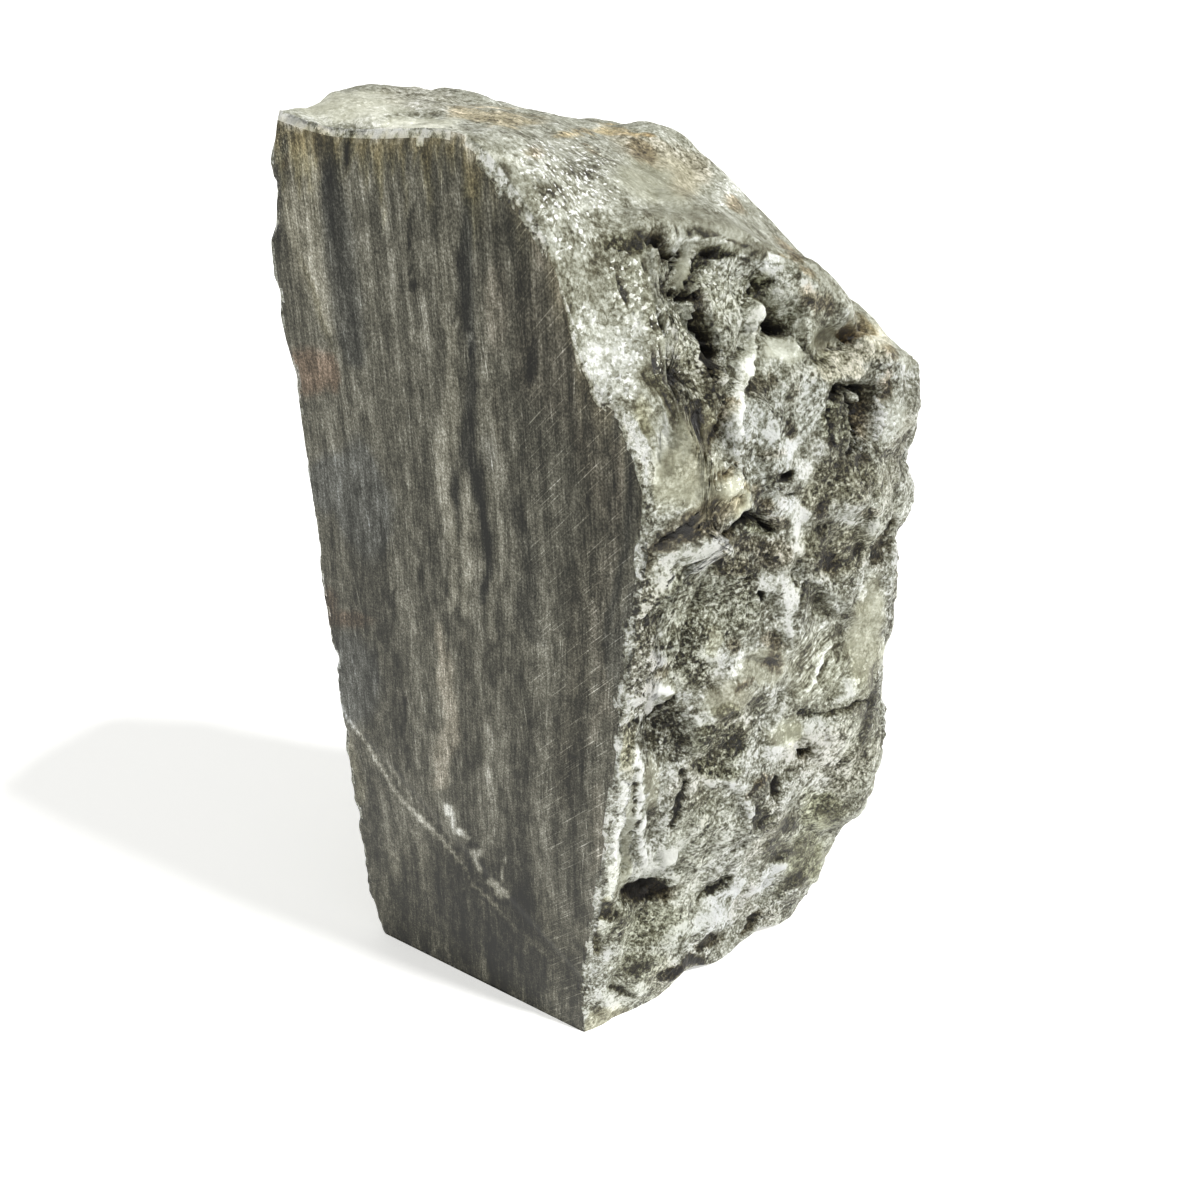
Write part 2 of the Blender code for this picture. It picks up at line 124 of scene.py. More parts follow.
GRADIENTS = np.array([(1, 1, 0), (-1, 1, 0), (1, -1, 0), (-1, -1, 0), (1, 0, 1), (-1, 0, 1), (1, 0, -1),
                      (-1, 0, -1), (0, 1, 1), (0, -1, 1), (0, 1, -1), (0, -1, -1), (1, 1, 0), (-1, 1, 0),
                      (0, -1, 1), (0, -1, -1)], dtype=float)


def waves(points: Array, seed: int) -> Array:
    """Smooth gradient noise, one wave for each unit of length.

    Each corner of the unit cell that holds a point pushes along its own gradient, and the eight pushes
    are blended by the quintic fade of the point's place in the cell.

    Args:
        points: rows of x, y and z.
        seed: which of many noises to use.

    Returns:
        The noise at each point, which swings about zero and stays within about 1 of it.
    """
    cell = np.floor(points).astype(np.int64)
    part = points - cell
    fade = part * part * part * (part * (part * 6.0 - 15.0) + 10.0)
    total = np.zeros(len(points))
    for corner in np.ndindex(2, 2, 2):
        push = GRADIENTS[scramble(cell + corner, seed) & np.uint32(len(GRADIENTS) - 1)]
        weight = np.prod(np.where(np.array(corner) == 1, fade, 1.0 - fade), axis=1)
        total += weight * np.sum(push * (part - corner), axis=1)
    return total


@dataclass(frozen=True)
class ChipShape:
    """How flat chips of broken stone lie: how far their middles stray, and how they tilt and fall off."""
    jitter: float = 0.8
    tilt: float = 0.9
    step: float = 0.5
    fall: float = 0.9
    mean: float = 0.12

    def rise(self, points: Array, seed: int) -> Array:
        """Height of flat chips: the highest of the tilted planes that the 27 cells round a point hold.

        Args:
            points: places, in lengths of a chip.
            seed: which of many patterns to use.

        Returns:
            The height at each point, over the pattern's mean.
        """
        cell = np.floor(points).astype(np.int64)
        best = np.full(len(points), -np.inf)
        for corner in np.ndindex(3, 3, 3):
            place = cell + corner - 1
            shares = [chance(place, seed + k) for k in range(7)]
            away = points - (place + 0.5 + self.jitter * (np.stack(shares[:3], axis=1) - 0.5))
            tilt = self.tilt * (np.stack(shares[3:6], axis=1) - 0.5)
            fall = self.fall * np.sum(away * away, axis=1)
            best = np.maximum(best, self.step * shares[6] + np.sum(away * tilt, axis=1) - fall)
        return best - self.mean


def line_gap(x: Array, y: Array, places: Line) -> tuple[Array, Array]:
    """Finds the nearest place on a line that joins some places.

    Args:
        x: where each point lies along the first axis.
        y: where it lies along the second.
        places: the line's corners.

    Returns:
        The distance, positive on the line's right hand, and how far along the line it is, from 0 to 1.
    """
    nearest = np.full(x.shape, np.inf)
    signed = np.zeros(x.shape)
    along = np.zeros(x.shape)
    steps = len(places) - 1
    for k, ((x0, y0), (x1, y1)) in enumerate(zip(places[:-1], places[1:])):
        dx, dy = x1 - x0, y1 - y0
        t = np.clip(((x - x0) * dx + (y - y0) * dy) / (dx * dx + dy * dy), 0.0, 1.0)
        gx, gy = x - x0 - t * dx, y - y0 - t * dy
        gap = np.hypot(gx, gy)
        closer = gap < nearest
        nearest = np.where(closer, gap, nearest)
        signed = np.where(closer, np.where(gx * dy - gy * dx >= 0, gap, -gap), signed)
        along = np.where(closer, (k + t) / steps, along)
    return signed, along


@dataclass(frozen=True)
class PhotoView:
    """The photograph's camera, in the stone's own frame: a 30 mm lens on a 36 mm wide, square picture."""
    side_px: float = 1200.0
    lens_mm: float = 30.0
    sensor_mm: float = 36.0
    place_mm: tuple[float, float, float] = (238.297, -223.991, 370.0)
    turn_deg: float = 28.964
    tilt_deg: float = 31.5

    def pixels(self, points: Array) -> tuple[Array, Array]:
        """Finds where the photograph shows each point.

        Args:
            points: places in the stone's own frame.

        Returns:
            Pixels from the photograph's left edge, and from its top.
        """
        turn, tilt = math.radians(self.turn_deg), math.radians(self.tilt_deg)
        away = points - np.array(self.place_mm)
        right = away[:, 0] * math.cos(turn) + away[:, 1] * math.sin(turn)
        level = away[:, 1] * math.cos(turn) - away[:, 0] * math.sin(turn)
        ahead = level * math.cos(tilt) - away[:, 2] * math.sin(tilt)
        down = -level * math.sin(tilt) - away[:, 2] * math.cos(tilt)
        reach = self.side_px * self.lens_mm / self.sensor_mm
        return self.side_px / 2 + reach * right / ahead, self.side_px / 2 + reach * down / ahead


@dataclass(frozen=True)
class StoneForm:
    """Plain form of the stone: the driving sizes that the CAD solid is made from, in millimetres."""
    left_edge_x: Line = ((0, 0), (20, -4), (91, -4), (133, -2), (152, -0.5), (187, -2), (200, 0.5),
                         (240, 1.5), (294, 1), (306, 2), (331, 8), (341, 12))
    front_edge_x: Line = ((0, 106.5), (21, 106.5), (47, 109), (84, 114), (121, 118), (154, 121.5),
                          (179, 123), (202, 125), (230, 128), (250, 129), (300, 129))
    right_edge_x: Line = ((0, 171), (15, 174), (27, 178), (50, 183), (70, 187), (95, 188.5), (120, 188),
                          (139, 185), (165, 182), (190, 184), (222, 185), (236, 184), (252, 179),
                          (264, 176), (300, 172))
    back_edge_x: Line = ((0, 4), (60, 0), (150, 3), (240, 6), (340, 9))
    right_edge_y: Line = ((0, 120), (25, 124), (60, 128), (340, 128))
    back_edge_y: Line = ((0, 117), (150, 112), (340, 105))
    rough_length: float = 140.0
    side_length: float = 110.0
    left_bow: float = 7.0
    left_bow_fullness: float = 0.8
    back_bow: float = 7.0
    rough_bow: float = 3.0
    top_places: Triples = (
        (10, 0, 341.5), (30, 0, 338), (52, 0, 338.5), (75, 0, 338.5), (-4, 22, 344), (2, 42, 344),
        (0, 70, 343), (5, 90, 339.5), (12, 105, 336), (30, 110, 332), (48, 120, 331), (74, 122, 331),
        (86, 121, 324.5), (99, 125, 311), (110, 127, 303), (122, 131, 295), (136, 129, 286),
        (151, 128, 278), (172, 128, 268), (107, 20, 312), (112, 27, 316.5), (122, 42, 315.5),
        (135, 60, 308), (149, 88, 291), (165, 122, 266.5), (35, 45, 341), (60, 35, 336), (62, 80, 332),
        (90, 60, 326), (97, 95, 317), (128, 98, 297), (90, 12, 329), (60, 15, 338),
    )
    scoop_start_x: float = 75.0
    scoop_start_height: float = 341.5
    scoop_fall: float = 1.388
    scoop_rise: float = 0.97
    scoop_width: float = 50.0
    scoop_hollow: float = 3.0
    scoop_blend: float = 7.0
    scoop_above_top: float = 1.0
    scoop_edge: Line = ((75, 0), (82, 3.5), (92, 8), (97, 9), (101, 6), (104.5, 2), (107, -6), (113, -9),
                        (120, -3.5), (124, -3), (130, -10))
    scoop_edge_reach: float = 14.0
    first_rim_height: float = 300.0
    rim_rounds: int = 8
    lean: float = 31.0
    lean_run: float = 115.0
    lean_starts_at_run: float = 24.0
    lean_from: float = 256.0
    lean_to: float = 314.0
    right_edge_round: float = 20.0
    back_edge_round: float = 24.0
    left_edge_round: float = 5.0
    rim_round: float = 5.0
    round_reach: float = 1.3
    round_share: float = 0.42
    edge_sharpness: int = 14
    front_band: float = 0.06
    foot_lift: float = 3.0
    foot_rim: float = 12.0
    foot_rim_curve: float = 1.5
    foot_rim_from: float = 0.12
    foot_reach: float = 20.0
    foot_hollows: Triples = ((50, 11, 8.0), (92, 12, 6.0), (124, 10, 4.0))
    foot_hollow_depth: float = 30.0
    foot_hollow_curve: float = 1.2
    foot_unevenness: float = 1.4
    foot_wave: tuple[float, float, float] = (19.0, 19.0, 60.0)
    foot_seed: int = 77
    foot_allowance: float = 3.0

    def plan(self, a: Array, b: Array, height: Array) -> tuple[Array, ...]:
        """Place in plan of the lattice point (a, b) at a height.

        The four upright edges are joined by straight lines, the faces bow out by a sine, and the rough
        face leans back near its crest.

        Args:
            a: share of the way from the left side to the rough face.
            b: share of the way from the sawn face to the back.
            height: heights over the foot.

        Returns:
            x, y, the run along the rough face from the front edge, and that face's way out in plan.
        """
        left_x, front_x = profile(height, self.left_edge_x), profile(height, self.front_edge_x)
        right_x, right_y = profile(height, self.right_edge_x), profile(height, self.right_edge_y)
        back_x, back_y = profile(height, self.back_edge_x), profile(height, self.back_edge_y)
        x = (1 - a) * (1 - b) * left_x + a * (1 - b) * front_x + a * b * right_x + (1 - a) * b * back_x
        y = a * b * right_y + (1 - a) * b * back_y
        length = np.hypot(right_x - front_x, right_y)
        out_x = right_y / length
        out_y = -(right_x - front_x) / length
        run = b * length
        lean = self.lean * np.clip(1.0 - run / self.lean_run, 0.0, 1.0) * ease(run / self.lean_starts_at_run)
        lean = lean * ease((height - self.lean_from) / (self.lean_to - self.lean_from))
        push = a * (self.rough_bow * np.sin(np.pi * b) - lean)
        x = x + push * out_x - (1 - a) * self.left_bow * np.sin(np.pi * b) ** self.left_bow_fullness
        y = y + push * out_y + b * self.back_bow * np.sin(np.pi * a)
        return x, y, run, out_x, out_y

    def top_height(self, x: Array, y: Array) -> Array:
        """Bends a thin plate through all the places of the top.

        Args:
            x: distances along the foot of the sawn face.
            y: distances back into the stone.

        Returns:
            The plate's height: a plane, plus r squared times the logarithm of r for each place.
        """
        places = np.array(self.top_places, dtype=float)
        knots, heights = places[:, :2], places[:, 2]
        spread = np.linalg.norm(knots[:, None] - knots[None, :], axis=2)
        flat = np.column_stack([np.ones(len(knots)), knots])
        bend = spread * spread * np.log(spread + NEVER_ZERO)
        system = np.block([[bend, flat], [flat.T, np.zeros((3, 3))]])
        weights = np.linalg.solve(system, np.concatenate([heights, np.zeros(3)]))
        total = weights[-3] + weights[-2] * x + weights[-1] * y
        for (kx, ky), weight in zip(knots, weights[:-3]):
            gap = np.hypot(x - kx, y - ky)
            total = total + weight * gap * gap * np.log(gap + NEVER_ZERO)
        return total

    def rim_height(self, a: Array, b: Array) -> Array:
        """Height of the top over (a, b): the lower of the top's plate and the scoop, softly joined.

        The place in plan depends on the height, so both are brought together in a few rounds.

        Args:
            a: share of the way from the left side to the rough face.
            b: share of the way from the sawn face to the back.

        Returns:
            Heights over the foot.
        """
        height = np.full(a.shape, self.first_rim_height)
        for _ in range(self.rim_rounds):
            x, y, *_ = self.plan(a, b, height)
            top = self.top_height(x, y)
            scoop = self.scoop_start_height - self.scoop_fall * (x - self.scoop_start_x)
            scoop = scoop + self.scoop_rise * y
            across = np.clip((x - self.scoop_start_x) / self.scoop_width, 0.0, 1.0)
            scoop = scoop - self.scoop_hollow * np.sin(np.pi * across)
            scoop = scoop + profile(x, self.scoop_edge) * np.exp(-(y / self.scoop_edge_reach) ** 2)
            mix = ease(0.5 + (top - scoop) / (2.0 * self.scoop_blend))
            lower = top * (1 - mix) + scoop * mix - self.scoop_blend * 0.5 * mix * (1 - mix)
            height = 0.5 * height + 0.5 * np.minimum(lower, top + self.scoop_above_top)
        return height

    def way_out(self, a: Array, b: Array, c: Array, out_x: Array, out_y: Array) -> Array:
        """Direction in which the surface moves when it rises: each side's own way out, mixed near the
        edges. Next to the sawn face it turns along that face.

        Args:
            a: share of the way from the left side to the rough face.
            b: share of the way from the sawn face to the back.
            c: share of the way from the foot to the top.
            out_x: the rough face's way out, along x.
            out_y: the same, along y.

        Returns:
            Rows of unit length.
        """
        to_rough, to_left = a ** self.edge_sharpness, (1 - a) ** self.edge_sharpness
        to_back, to_top = b ** self.edge_sharpness, c ** (2 * self.edge_sharpness)
        turned = np.clip(b / self.front_band, 0.0, 1.0)
        move = np.stack([to_rough * (1.0 + turned * (out_x - 1.0)) - to_left,
                         to_rough * turned * out_y + to_back,
                         to_top], axis=1)
        return move / np.maximum(np.linalg.norm(move, axis=1, keepdims=True), TINY)

    def edge_rounding(self, a: Array, b: Array, c: Array, width: Array, rim: Array) -> Array:
        """How far the surface is pulled in along the upright edges and the rim of the top.

        Args:
            a: share of the way from the left side to the rough face.
            b: share of the way from the sawn face to the back.
            c: share of the way from the foot to the top.
            width: width of the sawn face at each height.
            rim: height of the top over each place.

        Returns:
            Distances against the way out.
        """
        from_right = (1 - a) * width + (1 - b) * self.rough_length
        from_back = a * width + (1 - b) * self.side_length
        from_left = a * width + b * self.side_length
        pulled = np.zeros(len(a))
        for far, radius in ((from_right, self.right_edge_round), (from_back, self.back_edge_round),
                            (from_left, self.left_edge_round)):
            pulled += self.round_share * radius * np.clip(1.0 - far / (self.round_reach * radius), 0, 1) ** 2
        inside_top = np.minimum(np.minimum(a, 1 - a) * width, (1 - b) * self.side_length)
        from_rim = np.where(c > 1 - TINY, inside_top, (1 - c) * rim)
        at_rim = np.clip(1.0 - from_rim / self.rim_round, 0, 1) ** 2
        return pulled + self.round_share * self.rim_round * at_rim

    def underside_lift(self, points: Array, a: Array, b: Array, width: Array, run: Array) -> Array:
        """How far the underside stands off the ground: a little round its rim, and more where stone has
        broken away under the rough face.

        Args:
            points: places in the stone's own frame.
            a: share of the way from the left side to the rough face.
            b: share of the way from the sawn face to the back.
            width: width of the sawn face at each height.
            run: distance along the rough face from the front edge.

        Returns:
            Heights to add at the foot.
        """
        from_rough = (1 - a) * width
        rim_gap = np.minimum(np.minimum(from_rough, a * width), (1 - b) * self.side_length)
        lift = self.foot_lift * np.clip(1.0 - rim_gap / self.foot_rim, 0.0, 1.0) ** self.foot_rim_curve
        lift *= ease(b / self.foot_rim_from)
        for r, half, extra in self.foot_hollows:
            near = np.exp(-(((run - r) / half) ** 2))
            inward = np.clip(1.0 - from_rough / self.foot_hollow_depth, 0.0, 1.0)
            lift += extra * near * inward ** self.foot_hollow_curve
        return lift + self.foot_unevenness * waves(points / self.foot_wave, self.foot_seed)


@dataclass(frozen=True)
class BrokenRelief:
    """Relief of the broken sides. The main forms are those of the CAD solid, placed by run, the distance
    from the front edge along the rough face, and by height; the finer ones are the scene's own."""
    swells: tuple[tuple[float, ...], ...] = (
        (26, 249, 25, 25, 7.0), (22, 205, 26, 13, -4.5), (27, 187, 24, 26, -3.5), (36, 241, 6, 11, 3.0),
        (19, 281, 7, 7, -5.5), (53, 297, 6, 8, -6.5), (62, 284, 8, 7, -9.0), (96, 248, 11, 13, -5.5),
        (84, 276, 14, 8, -5.0), (91, 279, 6, 6, -3.0), (75, 287, 6, 5, -3.0), (92, 197, 18, 21, -4.5),
        (54, 162, 18, 11, 2.5), (20, 153, 12, 13, -3.5), (61, 100, 18, 24, 3.0), (24, 75, 13, 7, -6.0),
        (125, 160, 16, 28, 2.5), (123, 260, 7, 7, -3.5), (61, 258, 15, 22, -3.0), (98, 145, 20, 15, 2.0),
        (77, 114, 9, 9, -3.0), (101, 82, 10, 12, -3.0), (116, 92, 9, 8, -2.5), (13, 30, 16, 26, 2.5),
        (50, 30, 22, 20, 2.0), (104, 40, 24, 22, -2.5), (22, 307, 5, 9, 3.5), (11, 311, 5, 6, 2.0),
        (38, 300, 12, 12, 3.0), (112, 212, 10, 14, 2.0), (40, 130, 12, 12, -2.0), (132, 205, 12, 16, 2.5),
    )
    clefts: tuple[tuple[float, float, Line], ...] = (
        (5.5, 8.5, ((26, 301), (28, 294), (29, 289), (33, 285), (35, 279), (37, 272))),
        (5.0, 7.5, ((12, 322), (14, 316), (18, 309))),
        (5.0, 5.5, ((42, 311), (34, 311), (30, 307), (26, 302))),
        (4.0, 4.0, ((-4, 317), (3, 320), (11, 320))),
        (4.0, 4.5, ((25, 268), (23, 256))),
        (3.5, 5.0, ((39, 228), (47, 229), (57, 221))),
        (4.0, 5.5, ((86, 259), (94, 261), (103, 256))),
        (3.5, 4.5, ((97, 254), (96, 244), (96, 234))),
        (5.5, 4.0, ((7, 143), (7, 116), (11, 88))),
        (3.5, 3.5, ((60, 51), (74, 54))),
        (4.5, 1.6, ((69, 137), (85, 131), (99, 128), (126, 119))),
        (3.0, 3.0, ((142, 94), (133, 123))),
    )
    cleft_end: float = 0.35
    line_spread: float = 0.55
    ledges: tuple[tuple[float, float, Line], ...] = (
        (6.0, 26.0, ((8, 229), (11, 228), (24, 227), (37, 228), (46, 234))),
        (3.0, 16.0, ((4, 228), (19, 223), (28, 221), (34, 214), (44, 209))),
        (3.0, 18.0, ((8, 86), (20, 88), (34, 84), (46, 76))),
        (2.5, 14.0, ((38, 173), (50, 177), (67, 168))),
        (2.5, 20.0, ((86, 10), (102, 8), (128, 14))),
    )
    ledge_step: float = 6.0
    fine_ledge_step: float = 3.0
    ledge_end: float = 5.0
    ridges: tuple[tuple[float, float, Line], ...] = (
        (5.0, 3.0, ((56, 307), (52, 294), (55, 281))),
        (5.0, 3.5, ((36, 273), (43, 266), (39, 255), (41, 247), (46, 241), (44, 233))),
        (6.0, 3.5, ((74, 212), (71, 193), (71, 171))),
        (4.0, 2.0, ((86, 191), (100, 180), (107, 171))),
        (4.0, 2.0, ((104, 154), (93, 146))),
        (5.0, 2.5, ((12, 152), (13, 121), (20, 91))),
        (5.0, 2.5, ((42, 35), (69, 38), (79, 46))),
        (5.0, 2.0, ((11, 264), (5, 254), (3, 240))),
    )
    wave_sizes: tuple[tuple[float, float], ...] = ((64.0, 4.0), (27.0, 2.2), (12.0, 1.1))
    chip_sizes: tuple[tuple[float, float, int], ...] = ((34.0, 0.30, 11), (15.0, 0.30, 23))
    fine_chip_sizes: tuple[tuple[float, float, int], ...] = ((9.0, 0.29, 31), (4.6, 0.31, 47))
    crag_sizes: tuple[tuple[float, float], ...] = ((13.0, 1.6), (6.5, 1.4), (3.0, 1.3))
    crag_mean: float = 0.24
    crag_turn: float = 34.0
    crag_turn_sharpness: float = 5.0
    crag_seed: int = 25
    grit_gain: float = 0.35
    crumb_size: float = 1.9
    crumb_rise: float = 1.5
    crumb_share: float = 0.25
    crumb_seed: int = 14
    fibre_size: tuple[float, float] = (14.0, 2.2)
    fibre_rise: float = 0.9
    fibre_seed: int = 17
    calm_loss: float = 0.85
    wave_seed: int = 5
    top_calm: float = 0.4
    bedding_stretch: float = 1.7
    rough_from: float = 0.93
    top_from: float = 0.97

    def main_forms(self, run: Array, height: Array) -> Array:
        """Rise of the rough face over its plain leaning surface, from the forms placed on it.

        Args:
            run: distance along the rough face from the front edge.
            height: heights over the foot.

        Returns:
            The rise at each place.
        """
        rise = np.zeros(run.shape)
        for r, h, half_r, half_h, lift in self.swells:
            far = ((run - r) / half_r) ** 2 + ((height - h) / half_h) ** 2
            rise += lift * np.clip(1.0 - 0.5 * far, 0.0, 1.0) ** 2
        for width, depth, places in self.clefts:
            gap, along = line_gap(run, height, places)
            tapered = self.cleft_end + (1.0 - self.cleft_end) * np.sin(np.pi * along)
            rise -= depth * tapered * np.exp(-((gap / (self.line_spread * width)) ** 2))
        for width, lift, places in self.ridges:
            gap, _ = line_gap(run, height, places)
            rise += lift * np.exp(-((gap / (self.line_spread * width)) ** 2))
        for lift, fade, places in self.ledges:
            runs, heights = zip(*places)
            over = height - np.interp(run, runs, heights)
            begun = ease(0.5 + (run - runs[0]) / (2.0 * self.ledge_end))
            ended = ease(0.5 + (run - runs[-1]) / (2.0 * self.ledge_end))
            step = ease(0.5 + over / self.fine_ledge_step)
            rise += lift * begun * (1.0 - ended) * step * np.exp(-np.clip(over, 0.0, None) / fade)
        return rise

    def coarse(self, points: Array, a: Array, run: Array, rim: Array) -> Array:
        """The CAD solid's relief: waves and flat chips everywhere, and the main forms on the rough face.

        Args:
            points: places in the stone's own frame.
            a: share of the way from the left side to the rough face.
            run: distance along the rough face from the front edge.
            rim: height of the top over each place.

        Returns:
            The rise at each place.
        """
        chip = ChipShape()
        on_rough = ease((a - self.rough_from) / (1.0 - self.rough_from))
        rise = np.zeros(len(points))
        for k, (lump, lift) in enumerate(self.wave_sizes):
            rise += lift * waves(points / lump, self.wave_seed + k)
        for lump, share, seed in self.chip_sizes:
            stretched = points / (lump, lump, lump * self.bedding_stretch)
            rise += share * lump * chip.rise(stretched, seed)
        on_top = ease((points[:, 2] / rim - self.top_from) / (1.0 - self.top_from))
        return rise * (1.0 - self.top_calm * on_top) + on_rough * self.main_forms(run, points[:, 2])

    def fine(self, points: Array, looks: Looks, bolder: Array) -> Array:
        """The scene's own relief, which grows with grit and dies away where the stone is calm.

        Small flat chips; crags, whose creases are crests in some places and cracks in others; crumbs in
        the gritty places; and ribs along the fibres.

        Args:
            points: places in the stone's own frame.
            looks: masks of the looks, by name.
            bolder: how many times as high the chips and crags stand.

        Returns:
            The rise at each place.
        """
        chip = ChipShape()
        rise = np.zeros(len(points))
        for lump, share, seed in self.fine_chip_sizes:
            stretched = points / (lump, lump, lump * self.bedding_stretch)
            rise += share * lump * chip.rise(stretched, seed)
        sharp = np.tanh(self.crag_turn_sharpness * waves(points / self.crag_turn, self.crag_seed))
        for k, (lump, lift) in enumerate(self.crag_sizes):
            stretched = points / (lump, lump, lump * self.bedding_stretch)
            rise += lift * sharp * (self.crag_mean - np.abs(waves(stretched, self.crag_seed + 1 + k)))
        rise *= (1.0 + self.grit_gain * looks["grit"]) * bolder
        crumbs = np.abs(waves(points / self.crumb_size, self.crumb_seed)) - self.crag_mean
        rise += self.crumb_rise * (self.crumb_share + looks["grit"]) * crumbs
        length, width = self.fibre_size
        ribs = waves(points @ np.array(FIBRE_AXES).T / (length, width, width), self.fibre_seed)
        rise += self.fibre_rise * looks["fibre"] * ribs
        return rise * (1.0 - self.calm_loss * looks["calm"])


class Side(Enum):
    """Sides of the lattice cube, as (axis, end): the axis that the side faces along, and which end."""
    SAWN = (1, 0)
    BACK = (1, 1)
    LEFT = (0, 0)
    ROUGH = (0, 1)
    FOOT = (2, 0)
    TOP = (2, 1)


# sugar marks sugary crystals: it tilts their faces in the bump and also sets where glints are painted into
# the colour
LOOKS = ("tone", "grit", "sugar", "fibre", "calm", "olive", "brown", "tan", "cream", "cool", "pink")

# Soft edges of a mark, in its half sizes: where it ends, and how far in from there it shows in full
OVAL_EDGE = (1.3, 0.6)
LINE_EDGE = (1.7, 1.1)
# A line's width at its ends, as a share of its width at the middle
LINE_END = 0.55


@dataclass(frozen=True)
class Mark:
    """A named mark on one side of the stone: where it lies, and what it does to the surface there.

    Places and sizes are in pixels of the photograph, about 0.42 mm each. An oval is (x, y, half size,
    half size, turn in degrees), and a line has places and a half width. The rise is in millimetres.
    """
    name: str
    ovals: tuple[tuple[float, ...], ...] = ()
    line: Line = ()
    half: float = 1.0
    rise: float = 0.0
    tone: float = 0.0
    grit: float = 0.0
    sugar: float = 0.0
    fibre: float = 0.0
    calm: float = 0.0
    olive: float = 0.0
    brown: float = 0.0
    tan: float = 0.0
    cream: float = 0.0
    cool: float = 0.0
    pink: float = 0.0

    def mask(self, u: Array, v: Array) -> Array:
        """How strongly the mark shows at some places of the photograph.

        Args:
            u: pixels from the photograph's left edge.
            v: pixels from its top.

        Returns:
            Shares from 0 to 1: one less the product of what each oval and the line leave bare.
        """
        left = np.ones(u.shape)
        for centre_u, centre_v, half_u, half_v, turn in self.ovals:
            cos, sin = math.cos(math.radians(turn)), math.sin(math.radians(turn))
            across = ((u - centre_u) * cos + (v - centre_v) * sin) / half_u
            up = ((v - centre_v) * cos - (u - centre_u) * sin) / half_v
            left *= 1.0 - ease((OVAL_EDGE[0] - np.hypot(across, up)) / OVAL_EDGE[1])
        if self.line:
            gap, along = line_gap(u, v, self.line)
            tapered = self.half * (LINE_END + (1.0 - LINE_END) * np.sin(np.pi * along))
            left *= 1.0 - ease((LINE_EDGE[0] - np.abs(gap) / tapered) / LINE_EDGE[1])
        return 1.0 - left


